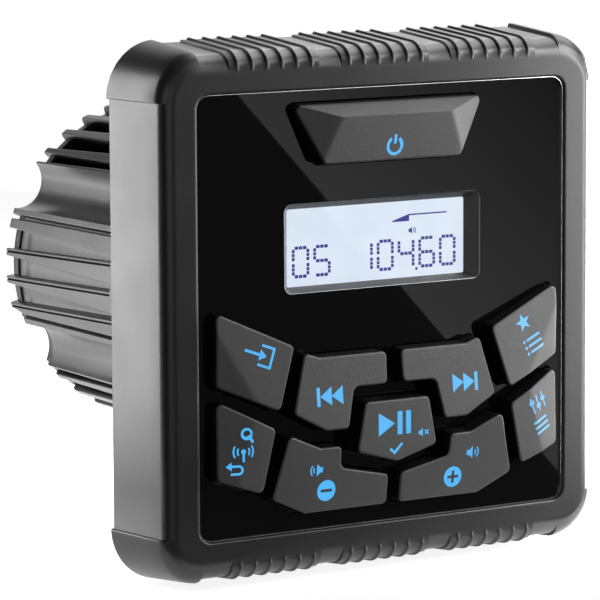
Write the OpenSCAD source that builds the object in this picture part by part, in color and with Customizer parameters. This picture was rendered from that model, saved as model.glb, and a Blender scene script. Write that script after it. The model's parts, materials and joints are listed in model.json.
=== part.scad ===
// Flush-mount marine stereo: a square ribbed bezel with a gloss face panel, a recessed
// display and ten sculpted keys, on a finned round barrel that goes through the dashboard.
// Frame: +Z up, the face looks along -Y, the barrel runs along +Y.
// Origin: on the barrel's axis, in the plane where the bezel meets the dashboard.

/* [Bezel] */
// Side of the square bezel over its plain flats
bezel_size = 100; // [98:0.5:110]
// Depth of the bezel from its front frame to the dashboard
bezel_depth = 18; // [17.9:0.1:24]
// Angle by which the bezel's sides lean out towards the dashboard
side_lean = 6.6; // [0:0.1:9]
// Radius of the bezel's upright corners
corner_r = 9; // [7:0.5:12]
// Radius of the bezel's front edge
edge_r = 2.8; // [1.5:0.1:3.5]
// Thickness of the bezel's side walls
wall = 2.5; // [2:0.1:3]
// How far a corner cap stands proud of the flats
cap_proud = 0.75; // [0.5:0.05:1.5]
// Length of a corner cap along each side
cap_reach = 8.7; // [7.5:0.1:10]
// How far the bezel's centre lies below the barrel's axis
front_drop = 0.6; // [0:0.1:2]

/* [Grip ribs] */
// Ribs in one group
rib_count = 6; // [3:1:6]
// Distance between neighbouring ribs
rib_pitch = 3.35; // [2.8:0.05:3.6]
// Width of a rib
rib_w = 1.2; // [0.8:0.05:1.6]
// Height of a rib above its pad
rib_h = 0.7; // [0.65:0.05:1]
// Width of the raised pad under a group
pad_w = 20.4; // [19.6:0.1:22]
// Height of the pad above the flat
pad_h = 0.4; // [0.2:0.05:0.6]
// Distance between the middles of neighbouring groups
rib_group_pitch = 25.4; // [24:0.1:26]

/* [Face panel] */
// Width of the front frame round the face panel
frame_w = 7; // [5:0.1:8]
// Radius of the panel's corners
panel_r = 2.8; // [1:0.1:5]
// Thickness of the panel
panel_t = 2; // [1.5:0.1:3]
// Depth of the panel's face behind the front frame
panel_inset = 0.9; // [0.4:0.1:1.5]
// Width of the ledge that carries the panel
ledge_w = 1.4; // [1:0.1:1.6]

/* [Display] */
// Width of the display opening
display_w = 46.2; // [40:0.2:50]
// Height of the display opening
display_h = 17.6; // [14:0.2:20]
// Gap between the power key and the display opening
display_gap = 7.3; // [6:0.1:8.5]
// Inward reach of the bevel at the left and right
bevel_x = 2.4; // [1:0.1:4]
// Inward reach of the bevel at the top and bottom
bevel_z = 1.4; // [0.5:0.1:2.5]
// Depth of the bevelled surround
bevel_depth = 3; // [2.4:0.1:4]
// Thickness of the clear window
window_t = 0.8; // [0.5:0.1:1.5]
// Thickness of the liquid-crystal cell
lcd_t = 2; // [1.5:0.1:2.5]
// Thickness of the backlight
backlight_t = 2.5; // [1.5:0.1:3]

/* [Keys] */
// Travel of a key
key_travel = 0.6; // [0.3:0.05:0.8]
// Gap between a key and its hole in the panel
key_gap = 0.3; // [0.2:0.05:0.4]
// Overlap of a key's flange behind the panel
flange_lip = 0.5; // [0.3:0.05:0.6]
// Thickness of a key's flange
flange_t = 1; // [0.8:0.1:1.2]
// Corner radius of a key's outline
key_r = 1.3; // [0.6:0.1:1.6]
// Radius of a key's stem
stem_r = 2; // [1.5:0.1:2.4]
// Running gap round a key's stem in the guide
stem_gap = 0.1; // [0.06:0.01:0.2]
// Side of a switch's square body
switch_side = 6; // [5:0.1:7]
// Height of a switch's body
switch_h = 3.5; // [3.2:0.1:3.8]
// Radius of a switch's plunger
plunger_r = 1.6; // [1.2:0.1:2]

/* [Inside the bezel] */
// Thickness of the silicone keypad mat
mat_t = 1.2; // [0.8:0.1:2]
// Thickness of the key guide
guide_t = 1.5; // [1:0.1:2.5]
// Thickness of the circuit boards
board_t = 1.6; // [1:0.1:2]
// Thickness of the rear plate
plate_t = 2.5; // [2.2:0.1:3]
// Radius of the bosses for the rear plate's screws
plate_boss_r = 3; // [2.6:0.1:3.4]
// Radius of the bosses for the control board's screws
board_boss_r = 2.4; // [2:0.1:2.8]
// Radius of the screw shanks in plastic
shank_r = 1.15; // [0.9:0.05:1.3]

/* [Barrel] */
// Radius of the round collar that fits the dashboard hole
collar_r = 37.6; // [37.2:0.1:39]
// Length of the collar
collar_len = 6; // [5:0.5:10]
// Length of the barrel from the dashboard to its rear end
barrel_len = 76.1; // [68:0.1:92]
// Radius over the fins at the dashboard
barrel_front_r = 35; // [34:0.1:36]
// Radius over the fins at the rear end
barrel_rear_r = 33.8; // [33.4:0.1:34.6]
// Radius of the barrel's bore
bore_r = 24; // [22:0.1:24.6]
// Angle between neighbouring fins
fin_pitch = 10; // [9.6:0.1:10.4]
// Radius at the floor of the deep grooves
deep_floor_r = 28.4; // [28:0.1:30]
// Radius at the floor of the shallow side grooves
shallow_floor_r = 32.3; // [31.5:0.1:32.5]
// Width of a groove at the barrel's rear end
groove_rear_w = 4.5; // [3:0.1:4.8]
// Width of a groove at its front end
groove_front_w = 1.6; // [1:0.1:2.5]
// Where the shallow grooves start behind the dashboard
shallow_start = 30.8; // [23:0.1:42]
// Where the deep grooves start behind the dashboard
deep_start = 16.8; // [13:0.1:32]
// Radius of the four lengthwise scallops
scallop_r = 5.8; // [5:0.1:6.5]
// Distance of a scallop's middle from the barrel's axis
scallop_at = 35.6; // [35.2:0.1:36.5]
// Angle of the scallops from the horizontal
scallop_angle = 30; // [28:0.5:32]
// How much shorter the lower fins are
lower_cut = 4; // [3.4:0.1:6]

/* [Rear cover] */
// Radius of the rear cover
cover_r = 32.4; // [31.8:0.1:32.6]
// Thickness of the rear cover
cover_t = 2.3; // [2:0.1:3]
// How far the fins reach past the rear cover
fin_past_cover = 1; // [0.5:0.1:1.5]
// Distance between the two bracket threads
bracket_pitch = 32; // [30:0.5:34]
// Radius of the thread in a bracket insert
thread_r = 2.1; // [1.6:0.1:2.6]
// Length of a bracket insert
insert_len = 8; // [6:0.5:10]
// Radius of the wiring bore in the harness gland
harness_bore_r = 4; // [3:0.1:4.5]
// Radius of the wiring bore in the accessory gland
accessory_bore_r = 3; // [2:0.1:3.5]

/* [Hidden] */
KEYS = ["power", "source", "preset", "band", "audio",
        "previous", "next", "play", "volume_down", "volume_up"];
KEY_NODES = [for (k = KEYS) str(k, "_key")];
PLUNGER_NODES = [for (k = KEYS) str(k, "_plunger")];

$fn = 64;
// Gap between pieces that are assembled by hand
fit_gap = 0.2;
// Gap round a screw's shank or a fixed insert in its hole
thread_gap = 0.05;
// Gap that keeps a pressed key clear of what lies behind it
press_gap = 0.3;
// Overshoot of a cutting solid past the face that it cuts
past = 1;

// Screws: heads, and the length that bites beyond the clamped piece
board_head_r = 2.1;
board_head_h = 1.5;
board_bite = 5;
plate_head_r = 2.4;
plate_head_h = 1.4;
plate_bite = 7.9;
barrel_screw_r = 1.5;
barrel_head_r = 2.6;
barrel_head_h = 2;
cover_head_r = 2.2;
cover_head_h = 1;
cover_bite = 8;
// Room beyond a screw's tip
tip_gap = 1;

// Planes along the barrel's axis, from the front frame to the dashboard
front_y = -bezel_depth;
panel_front = front_y + panel_inset;
panel_back = panel_front + panel_t;
slide_gap = 0.1;
flange_front = panel_back + slide_gap;
flange_back = flange_front + flange_t;
ledge_back = flange_back + key_travel + press_gap;
mat_back = ledge_back + mat_t;
guide_back = mat_back + guide_t;
plunger_front = guide_back;
switch_front = plunger_front + key_travel + press_gap;
board_front = switch_front + switch_h;
board_back = board_front + board_t;
plate_front = -plate_t;

// Half sizes seen from the front
bezel_half = bezel_size / 2;
inner_half = bezel_half - wall;
panel_half = bezel_half - frame_w;
ledge_half = panel_half - ledge_w;
mat_lap = 1.9;
mat_half = ledge_half + mat_lap;
board_gap = 2;
board_half = inner_half - board_gap;
boss_at = inner_half - plate_boss_r - 0.6;
board_boss_x = board_half - board_boss_r + 0.1;
board_boss_z = 20;
plate_half = inner_half - fit_gap;
// Plane where the ribs end, just behind the front frame
rib_front = front_y + 0.05;
// Radius of a rib's front end
rib_nose_r = 2.4;
// Setback of the corner caps behind the front frame
cap_setback = 0.35;

// Display stack
lcd_w = display_w + 2;
lcd_h = display_h + 3.6;
holder_wall = 1.7;
display_rim = 0.35;
display_back = panel_front + bevel_depth;
window_back = display_back + window_t;
lcd_back = window_back + lcd_t;
backlight_back = lcd_back + backlight_t;

// Barrel
seat_y = barrel_len - fin_past_cover - cover_t;
recess_r = cover_r + fit_gap;
// Open band in front of the rear cover, which the fins bridge
rim_gap = 2.6;
rim_gap_depth = 1.1;
barrel_screw_at = scallop_at - 2.2;
boss_depth = min(5.2, -board_back - 2 * fit_gap);
boss_wall = 2;
boss_floor = 0.8;
cover_screw_at = (bore_r + cover_r) / 2 + 1;
cover_screw_angle = 15;
seal_r = 0.8;
front_seal_at = bore_r + 4;
rear_seal_at = bore_r + 2.2;
gasket_gap = 0.8;
gasket_w = 2.8;
gasket_inner_r = collar_r + gasket_gap;
gasket_outer_r = gasket_inner_r + gasket_w;
gasket_t = 1;

// Key outlines are drawn for a panel of this half side, and follow the panel's
drawn_half = 43;
grid = panel_half / drawn_half;

// Outlines of the right-hand keys, anticlockwise from the front, as [x, z] on the grid
power_outline = [[-16, 28.4], [16, 28.4], [22.6, 40.4], [-22.6, 40.4]];
preset_outline = [[26.9, -18.6], [40.3, -12.9], [40.3, 1.9], [22.9, -5.9]];
audio_outline = [[30.3, -34.4], [40.3, -31], [40.3, -15.1], [27.4, -21.6]];
next_outline = [[1.6, -15.3], [9.4, -15.3], [11.1, -23.2], [16.6, -23.2],
                [24, -19.3], [20.8, -7.3], [17.2, -8.5], [1.4, -8.5]];
play_outline = [[-9.6, -28], [0, -30.7], [9.6, -28], [7.7, -18], [-7.7, -18]];
volume_outline = [[1.2, -39.3], [20.4, -39.3], [28.5, -35.6], [25.3, -22.8],
                  [17.6, -26.1], [12.6, -26.1], [12.5, -30.5], [1.2, -32.9]];

// A facet is [x, z, rise above the panel there, slope along x, slope along z]
power_facets = [[0, 33, 4.24, 0, 0.19], [0, 37.8, 5.1, 0, -1.19],
                [13, 37.8, 5.1, -0.36, 0.044], [-13, 37.8, 5.1, 0.36, 0.044]];
preset_facets = [[32.5, -9, 3.64, -0.05, -0.087], [36, -10, 3.48, -0.237, 0.023]];
audio_facets = [[34.5, -25, 3.9, -0.03, 0.03], [36, -25, 3.46, -0.237, -0.024]];
next_facets = [[16, -15.5, 4.08, 0, -0.097]];
play_facets = [[0, -24, 4.8, 0, 0]];
volume_facets = [[18, -32.5, 3.77, 0, 0.128]];

// Height of the display's middle above the panel's middle
display_z = grid * power_outline[0].y - display_gap - display_h / 2;

function flip(points) = [for (i = [len(points) - 1 : -1 : 0]) [-points[i].x, points[i].y]];
function flip_facets(facets) = [for (f = facets) [-f[0], f[1], f[2], -f[3], f[4]]];

// Everything that tells the keys apart, in the order of KEYS: outline, facets, stem
KEY_SHAPES = [
    [power_outline, power_facets, [0, 34]],
    [flip(preset_outline), flip_facets(preset_facets), [-32.5, -9]],
    [preset_outline, preset_facets, [32.5, -9]],
    [flip(audio_outline), flip_facets(audio_facets), [-34.5, -25]],
    [audio_outline, audio_facets, [34.5, -25]],
    [flip(next_outline), flip_facets(next_facets), [-16, -15.5]],
    [next_outline, next_facets, [16, -15.5]],
    [play_outline, play_facets, [0, -24]],
    [flip(volume_outline), flip_facets(volume_facets), [-18, -32.5]],
    [volume_outline, volume_facets, [18, -32.5]]];
function stem_at(i) = grid * KEY_SHAPES[i][2];

// Geometry helpers

function unit(v) = v / norm(v);

// Moves each side of an anticlockwise outline outwards by d
function side_normal(a, b) = unit([b.y - a.y, a.x - b.x]);
function grow(points, d) = [
    for (i = [0 : len(points) - 1])
        let (n = len(points), p = points[i],
             n1 = side_normal(points[(i + n - 1) % n], p),
             n2 = side_normal(p, points[(i + 1) % n]))
        p + (n1 + n2) * d / (1 + n1 * n2)];

// Replaces each corner of an outline by an arc of radius r
function corner_arc(p, before, after, r, steps) =
    let (u = unit(before - p), v = unit(after - p),
         half = acos(u * v) / 2,
         reach = min(r / tan(half), 0.45 * min(norm(before - p), norm(after - p))),
         radius = reach * tan(half),
         middle = p + unit(u + v) * radius / sin(half),
         a = p + u * reach - middle, b = p + v * reach - middle,
         turn = 180 - 2 * half)
    [for (k = [0 : steps])
        let (w = k / steps)
        middle + (a * sin((1 - w) * turn) + b * sin(w * turn)) / sin(turn)];
function rounded(points, r, steps = 4) = [
    for (i = [0 : len(points) - 1])
        let (n = len(points))
        each corner_arc(points[i], points[(i + n - 1) % n], points[(i + 1) % n], r, steps)];

// Extrudes a front view from the plane y0 back to the plane y1
module slab(y0, y1) {
    translate([0, y1, 0]) rotate([90, 0, 0]) linear_extrude(y1 - y0) children();
}

// Round bar along the barrel's axis from y0 to y1
module bar(r, y0, y1) {
    translate([0, y0, 0]) rotate([-90, 0, 0]) cylinder(r = r, h = y1 - y0);
}

module ring(r_out, r_in, y0, y1) {
    difference() {
        bar(r_out, y0, y1);
        bar(r_in, y0 - past, y1 + past);
    }
}

// Front view of a square with round corners
module round_square(half, r) {
    square([2 * half, 2 * (half - r)], center = true);
    square([2 * (half - r), 2 * half], center = true);
    for (x = [-1, 1], z = [-1, 1]) translate([x, z] * (half - r)) circle(r = r);
}

// Side view of half of a box: depth along x, with its front corner rounded and its side leaning out
module edge_profile(reach, y0, y1, r) {
    middle = [reach - r, y0 + r];
    touch = middle + r * [cos(side_lean), -sin(side_lean)];
    rear = touch.x + (y1 - touch.y) * tan(side_lean);
    polygon([[0, y0], [middle.x, y0], middle, touch, [rear, y1], [0, y1]]);
    translate(middle) circle(r = r);
}

// Box with round upright corners and a round front edge
module round_box(half, r_corner, r_edge, y0, y1) {
    flat = half - r_corner;
    for (turn = [0, 90, 180, 270]) rotate([0, turn, 0]) {
        translate([flat, 0, flat]) rotate([-90, 0, 0])
            rotate_extrude() edge_profile(r_corner, y0, y1, r_edge);
        translate([0, 0, -flat]) linear_extrude(2 * flat) edge_profile(half, y0, y1, r_edge);
    }
}

// Places the front pieces, which are drawn about the bezel's middle
module front() {
    translate([0, 0, -front_drop]) children();
}

module at(p) {
    translate([p.x, 0, p.y]) children();
}

module at_corners(x, z) {
    for (sx = [-1, 1], sz = [-1, 1]) at([sx * x, sz * z]) children();
}

module at_scallops(r) {
    for (a = [scallop_angle, 180 - scallop_angle])
        for (s = [-1, 1]) at(r * [cos(a), s * sin(a)]) children();
}

module at_cover_screws() {
    at_corners(cover_screw_at * cos(cover_screw_angle), cover_screw_at * sin(cover_screw_angle))
        children();
}

// Screw with a domed head: its seat is at y = 0, its shank goes along -Y
module screw(shank, length, head, head_h) {
    bar(shank, -length, 0);
    rotate([-90, 0, 0]) rotate_extrude() intersection() {
        square([head, head_h]);
        translate([0, head_h - 2 * head]) circle(r = 2 * head);
    }
}

// Front pieces

// Front view of a group of round-topped ribs
module rib_rows() {
    top = bezel_half + pad_h + rib_h - rib_w / 2;
    for (i = [0 : rib_count - 1]) translate([(i - (rib_count - 1) / 2) * rib_pitch, 0]) {
        translate([0, top]) circle(d = rib_w);
        translate([-rib_w / 2, bezel_half - edge_r]) square([rib_w, top - bezel_half + edge_r]);
    }
}

// Side view extruded along the top edge, as wide as a group's pad
module along_top() {
    rotate([0, -90, 0]) translate([0, 0, -pad_w / 2]) linear_extrude(pad_w) children();
}

// Group of ribs along the top, on their pad, running over the front edge
module rib_group() {
    along_top() edge_profile(bezel_half + pad_h, rib_front, 0, edge_r);
    intersection() {
        translate([0, front_y + edge_r, bezel_half]) rotate([side_lean, 0, 0])
            translate([0, -front_y - edge_r, -bezel_half]) slab(rib_front - past, past) rib_rows();
        along_top() edge_profile(bezel_half + pad_h + rib_h + rib_w / 4, rib_front, 0, rib_nose_r);
    }
}

module bezel_shell() {
    round_box(bezel_half, corner_r, edge_r, front_y, 0);
    cap_front = front_y + cap_setback;
    intersection() {
        round_box(bezel_half + cap_proud, corner_r + cap_proud, edge_r, cap_front, 0);
        at_corners(bezel_half, bezel_half) slab(cap_front, 0) square(2 * cap_reach, center = true);
    }
    for (side = [0, 1]) mirror([0, 0, side])
        for (g = [-1, 0, 1]) translate([g * rib_group_pitch, 0, 0]) rib_group();
}

module front_bezel() {
    color([0.13, 0.13, 0.14]) front() difference() {
        union() {
            difference() {
                bezel_shell();
                slab(ledge_back, past) round_square(inner_half, corner_r - wall);
            }
            at_corners(boss_at, boss_at) bar(plate_boss_r, ledge_back - past, plate_front);
            at_corners(board_boss_x, board_boss_z) bar(board_boss_r, ledge_back - past, board_front);
        }
        slab(front_y - past, panel_back) round_square(panel_half + fit_gap / 2, panel_r);
        slab(panel_back - past, ledge_back + past / 2) round_square(ledge_half, panel_r);
        at_corners(boss_at, boss_at)
            bar(shank_r + thread_gap, plate_front - plate_bite - tip_gap, past);
        at_corners(board_boss_x, board_boss_z)
            bar(shank_r + thread_gap, board_front - board_bite - tip_gap / 2, board_front + past);
    }
}

module face_panel() {
    color([0.03, 0.03, 0.035]) front() difference() {
        slab(panel_front, panel_back) round_square(panel_half, panel_r);
        for (i = [0 : len(KEYS) - 1]) slab(panel_front - past, panel_back + past)
            polygon(rounded(grow(grid * KEY_SHAPES[i][0], key_gap), key_r));
        at([0, display_z]) slab(panel_front - past, panel_back + past)
            square([display_w + fit_gap, display_h + fit_gap], center = true);
    }
}

// Half view of the display's funnel: opening at the panel's face, mouth at its back
module funnel_profile(open, reach) {
    slope = reach / bevel_depth;
    a = open / 2 - display_rim;
    polygon([[a + slope * past, panel_front - past], [a - reach - slope * past, display_back + past],
             [-a + reach + slope * past, display_back + past], [-a - slope * past, panel_front - past]]);
}

module display_frame() {
    color([0.12, 0.12, 0.13]) front() at([0, display_z]) difference() {
        union() {
            slab(panel_front, display_back) square([display_w, display_h], center = true);
            slab(panel_back, display_back) square([lcd_w + 1, lcd_h], center = true);
        }
        intersection() {
            translate([0, 0, -display_h]) linear_extrude(2 * display_h)
                funnel_profile(display_w, bevel_x);
            rotate([0, 90, 0]) translate([0, 0, -display_w]) linear_extrude(2 * display_w)
                funnel_profile(display_h, bevel_z);
        }
    }
}

module display_layer(y0, y1) {
    front() at([0, display_z]) slab(y0, y1) square([lcd_w, lcd_h], center = true);
}

module display_window() {
    color([0.8, 0.9, 1, 0.4]) display_layer(display_back, window_back);
}

module lcd_panel() {
    color([0.85, 0.9, 1]) display_layer(window_back, lcd_back);
}

module lcd_backlight() {
    color([0.95, 0.95, 0.95]) display_layer(lcd_back, backlight_back);
}

module lcd_holder() {
    color([0.9, 0.9, 0.88]) front() at([0, display_z]) difference() {
        slab(ledge_back, board_front)
            square([lcd_w + 2 * holder_wall, lcd_h + 2 * holder_wall], center = true);
        slab(ledge_back - past, backlight_back)
            square([lcd_w + fit_gap, lcd_h + fit_gap], center = true);
    }
}

// Space behind a sloping facet
module behind_facet(f) {
    far = 4 * panel_half;
    n = [f[3], 1, f[4]];
    translate([grid * f[0], panel_front - f[2], grid * f[1]])
        rotate([asin(n.z / norm(n)), 0, atan2(-n.x, n.y)])
            translate([-far, 0, -far]) cube(2 * far);
}

module key(i) {
    outline = grid * KEY_SHAPES[i][0];
    highest = 8;
    color([0.28, 0.28, 0.29]) front() {
        intersection() {
            slab(panel_front - highest, flange_back) polygon(rounded(outline, key_r));
            intersection_for (f = KEY_SHAPES[i][1]) behind_facet(f);
        }
        slab(flange_front, flange_back)
            polygon(rounded(grow(outline, key_gap + flange_lip), key_r));
        at(stem_at(i)) bar(stem_r, flange_front, plunger_front);
    }
}

// Thickness of a switch's floor
switch_floor = 0.5;

module plunger(i) {
    color([0.9, 0.6, 0.2]) front() at(stem_at(i))
        bar(plunger_r, plunger_front, board_front - switch_floor - key_travel - press_gap);
}

module keypad_plate(y0, y1, hole_r) {
    front() difference() {
        slab(y0, y1) round_square(mat_half, panel_r);
        for (i = [0 : len(KEYS) - 1]) at(stem_at(i)) bar(hole_r, y0 - past, y1 + past);
        at([0, display_z]) slab(y0 - past, y1 + past)
            square([lcd_w + 2 * holder_wall + 3 * fit_gap, lcd_h + 2 * holder_wall + 3 * fit_gap],
                   center = true);
        at_corners(boss_at, boss_at) bar(plate_boss_r + fit_gap, y0 - past, y1 + past);
        at_corners(board_boss_x, board_boss_z) bar(board_boss_r + fit_gap, y0 - past, y1 + past);
    }
}

module keypad_mat() {
    color([0.75, 0.75, 0.78]) keypad_plate(ledge_back, mat_back, stem_r + press_gap);
}

module key_guide() {
    leg_r = 2;
    leg_at = ledge_half - 3.4;
    color([0.2, 0.2, 0.22]) {
        keypad_plate(mat_back, guide_back, stem_r + stem_gap);
        front() at_corners(leg_at, leg_at) bar(leg_r, guide_back, board_front);
    }
}

module tact_switches() {
    color([0.15, 0.15, 0.15]) front() for (i = [0 : len(KEYS) - 1]) at(stem_at(i)) difference() {
        slab(switch_front, board_front) square(switch_side, center = true);
        bar(plunger_r + stem_gap, switch_front - past, board_front - switch_floor);
    }
}

module control_board() {
    color([0.05, 0.3, 0.12]) front() difference() {
        slab(board_front, board_back) square(2 * board_half, center = true);
        at_corners(boss_at, boss_at) bar(plate_boss_r + 2 * fit_gap, board_front - past, board_back + past);
        at_corners(board_boss_x, board_boss_z)
            bar(shank_r + fit_gap, board_front - past, board_back + past);
    }
}

module control_chips() {
    // Places and sizes of the processor, the radio module and the memory: [x, z, w, h, thickness]
    chips = [[-8, 14, 14, 14, 1.2], [22, 4, 12, 16, 1.5], [-26, -4, 6, 8, 1.2]];
    color([0.08, 0.08, 0.09]) front() for (c = chips)
        at([c[0], c[1]]) slab(board_back, board_back + c[4]) square([c[2], c[3]], center = true);
}

module board_screws() {
    color([0.7, 0.7, 0.72]) front() at_corners(board_boss_x, board_boss_z)
        translate([0, board_back, 0]) screw(shank_r, board_t + board_bite, board_head_r, board_head_h);
}

// Rear plate and dashboard seat

module rear_plate() {
    color([0.11, 0.11, 0.12]) difference() {
        union() {
            front() slab(plate_front, 0) round_square(plate_half, corner_r - wall);
            at_scallops(barrel_screw_at) bar(barrel_screw_r + boss_wall, -boss_depth, plate_front + past / 2);
        }
        bar(bore_r, plate_front - past, past);
        ring(gasket_outer_r, gasket_inner_r, -gasket_t, past);
        at_scallops(barrel_screw_at) bar(barrel_screw_r + thread_gap, -boss_depth + boss_floor, past);
        front() at_corners(boss_at, boss_at) {
            bar(shank_r + fit_gap, plate_front - past, past);
            bar(plate_head_r + fit_gap, -plate_head_h, past);
        }
    }
}

module plate_screws() {
    color([0.7, 0.7, 0.72]) front() at_corners(boss_at, boss_at)
        translate([0, -plate_head_h, 0])
            screw(shank_r, plate_t - plate_head_h + plate_bite, plate_head_r, plate_head_h);
}

module dash_gasket() {
    color([0.05, 0.05, 0.05]) ring(gasket_outer_r, gasket_inner_r, -gasket_t, 0);
}

// Barrel

// Cutter of one groove along +X, which widens towards the rear
module groove_cut(start, floor_r) {
    end = barrel_len + past;
    f = groove_front_w / 2;
    r = groove_rear_w / 2;
    rotate([0, 90, 0]) translate([0, 0, floor_r]) linear_extrude(barrel_front_r)
        polygon([[-f, start], [f, start], [r, end], [-r, end]]);
}

module grooves() {
    for (k = [-4 : 4], side = [-90, 90]) rotate([0, side + k * fin_pitch, 0])
        groove_cut(deep_start, deep_floor_r);
    for (k = [-1 : 1], side = [0, 180]) rotate([0, side + k * fin_pitch, 0])
        groove_cut(shallow_start, shallow_floor_r);
}

module seal_groove(at_r, y0, y1) {
    ring(at_r + seal_r + 0.1, at_r - seal_r - 0.1, y0, y1);
}

// Slotted rails in the bore that hold the amplifier board
amp_z = -6;
amp_half = sqrt(pow(bore_r, 2) - pow(abs(amp_z) + board_t / 2, 2)) - fit_gap;
amp_front = 3;
amp_len = seat_y - 14;
rail_h = 1.6;
rail_w = 3;

module rails() {
    for (s = [-1, 1], z = [amp_z - board_t / 2 - rail_h, amp_z + board_t / 2 + thread_gap])
        intersection() {
            translate([s > 0 ? amp_half - rail_w : -amp_half - 3, amp_front, z])
                cube([rail_w + 3, amp_len, rail_h]);
            bar(bore_r + past, 0, barrel_len);
        }
}

module barrel_housing() {
    color([0.16, 0.16, 0.17]) {
        difference() {
            union() {
                bar(collar_r, 0, collar_len);
                rotate([-90, 0, 0]) cylinder(r1 = barrel_front_r, r2 = barrel_rear_r, h = barrel_len);
            }
            grooves();
            at_scallops(scallop_at) bar(scallop_r, collar_len, barrel_len + past);
            difference() {
                translate([-collar_r, barrel_len - lower_cut, -collar_r])
                    cube([2 * collar_r, lower_cut + past, collar_r - 10]);
                bar(recess_r, 0, barrel_len + 2 * past);
            }
            bar(bore_r, -past, barrel_len);
            bar(recess_r, seat_y, barrel_len + past);
            ring(recess_r, recess_r - rim_gap_depth, seat_y - rim_gap, seat_y + past);
            at_scallops(barrel_screw_at) bar(barrel_screw_r + fit_gap, -past, collar_len + past);
            at_cover_screws() bar(shank_r + thread_gap, seat_y - cover_bite - tip_gap, seat_y + past);
            seal_groove(front_seal_at, -past, 2 * seal_r);
            seal_groove(rear_seal_at, seat_y - 2 * seal_r, seat_y + past);
        }
        rails();
    }
}

module o_ring(at_r, y) {
    translate([0, y, 0]) rotate([-90, 0, 0]) rotate_extrude()
        translate([at_r, 0]) circle(r = seal_r - 0.02);
}

module barrel_seal() {
    color([0.05, 0.05, 0.05]) o_ring(front_seal_at, seal_r);
}

module rear_seal() {
    color([0.05, 0.05, 0.05]) o_ring(rear_seal_at, seat_y - seal_r);
}

module barrel_screws() {
    color([0.7, 0.7, 0.72]) at_scallops(barrel_screw_at)
        translate([0, collar_len, 0])
            screw(barrel_screw_r, collar_len + boss_depth - boss_floor - tip_gap / 2,
                  barrel_head_r, barrel_head_h);
}

// Amplifier inside the barrel

amp_top = amp_z + board_t / 2;

module amplifier_board() {
    color([0.05, 0.3, 0.12]) translate([-amp_half, amp_front, amp_z - board_t / 2])
        cube([2 * amp_half, amp_len, board_t]);
}

chip_w = 24;
chip_t = 5;
chip_h = 14;
chip_inset = 8;
chip_y = amp_front + amp_len - chip_inset;

module amplifier_chip() {
    color([0.08, 0.08, 0.09]) translate([-chip_w / 2, chip_y - chip_t, amp_top])
        cube([chip_w, chip_t, chip_h]);
}

spreader_t = 6;

module heat_spreader() {
    color([0.75, 0.75, 0.77]) intersection() {
        translate([-chip_w / 2, chip_y, amp_top]) cube([chip_w, spreader_t, 2 * bore_r]);
        bar(bore_r - thread_gap, 0, barrel_len);
    }
}

// The choke, the tuner and the capacitors stand in front of the chip, one row after another
choke_r = 7;
choke_h = 6;
choke_x = -9;
choke_y = chip_y - chip_t - choke_r;
tuner_size = [16, 11, 7];
tuner_x = 1;
tuner_gap = 2;
capacitor_r = 5;
capacitor_h = 15;
capacitor_pitch = 11;
capacitor_gap = 2;
capacitor_y = choke_y - choke_r - capacitor_gap - capacitor_r;

module capacitors() {
    color([0.1, 0.12, 0.3]) for (k = [-1 : 1])
        translate([k * capacitor_pitch, capacitor_y, amp_top]) cylinder(r = capacitor_r, h = capacitor_h);
}

module choke() {
    color([0.55, 0.3, 0.12]) translate([choke_x, choke_y, amp_top]) difference() {
        cylinder(r = choke_r, h = choke_h);
        translate([0, 0, -past]) cylinder(r = choke_r / 2, h = choke_h + 2 * past);
    }
}

module tuner_can() {
    color([0.75, 0.75, 0.77])
        translate([tuner_x, chip_y - chip_t - tuner_gap - tuner_size.y, amp_top]) cube(tuner_size);
}

link_w = 20;
header_t = 4;
header_len = 5;
link_t = 1;

module link_headers() {
    color([0.92, 0.9, 0.82]) {
        translate([-link_w / 2, board_back, amp_top]) cube([link_w, header_t, header_len]);
        translate([-link_w / 2, amp_front, amp_top]) cube([link_w, header_len, header_t]);
    }
}

// Flat cable bridging the two headers
module ribbon_link() {
    color([0.6, 0.6, 0.62]) translate([-link_w / 2 + 1, board_back + header_t, amp_top + 1])
        cube([link_w - 2, amp_front - board_back - header_t, link_t]);
}

// Rear cover

bracket_at = [bracket_pitch / 2, 0];
harness_at = [0, -13];
accessory_at = [9, 13];
antenna_at = [-9, 13];
gland_wall = 2;
gland_lip = 1.2;
gland_flange = 2;
gland_floor = 1;
gland_proud = 2.4;
gland_taper = 0.8;
antenna_r = 4;
antenna_wall = 1;
antenna_flange = 2;
antenna_lip = 1.5;
antenna_proud = 3;
insert_r = thread_r + 1.4;
cover_back = seat_y + cover_t;

module at_brackets() {
    for (s = [-1, 1]) at([s * bracket_at.x, bracket_at.y]) children();
}

module rear_cover() {
    color([0.14, 0.14, 0.15]) difference() {
        union() {
            bar(cover_r, seat_y, cover_back);
            at_brackets() bar(insert_r + 2, cover_back - insert_len - 1.5, seat_y + past / 2);
        }
        at_brackets() bar(insert_r + thread_gap, cover_back - insert_len, cover_back + past);
        at(harness_at) bar(harness_bore_r + gland_wall + thread_gap, seat_y - past, cover_back + past);
        at(accessory_at)
            bar(accessory_bore_r + gland_wall + thread_gap, seat_y - past, cover_back + past);
        at(antenna_at) bar(antenna_r + thread_gap, seat_y - past, cover_back + past);
        at_cover_screws() bar(shank_r + fit_gap, seat_y - past, cover_back + past);
    }
}

module cover_screws() {
    color([0.7, 0.7, 0.72]) at_cover_screws()
        translate([0, cover_back, 0]) screw(shank_r, cover_t + cover_bite, cover_head_r, cover_head_h);
}

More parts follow.
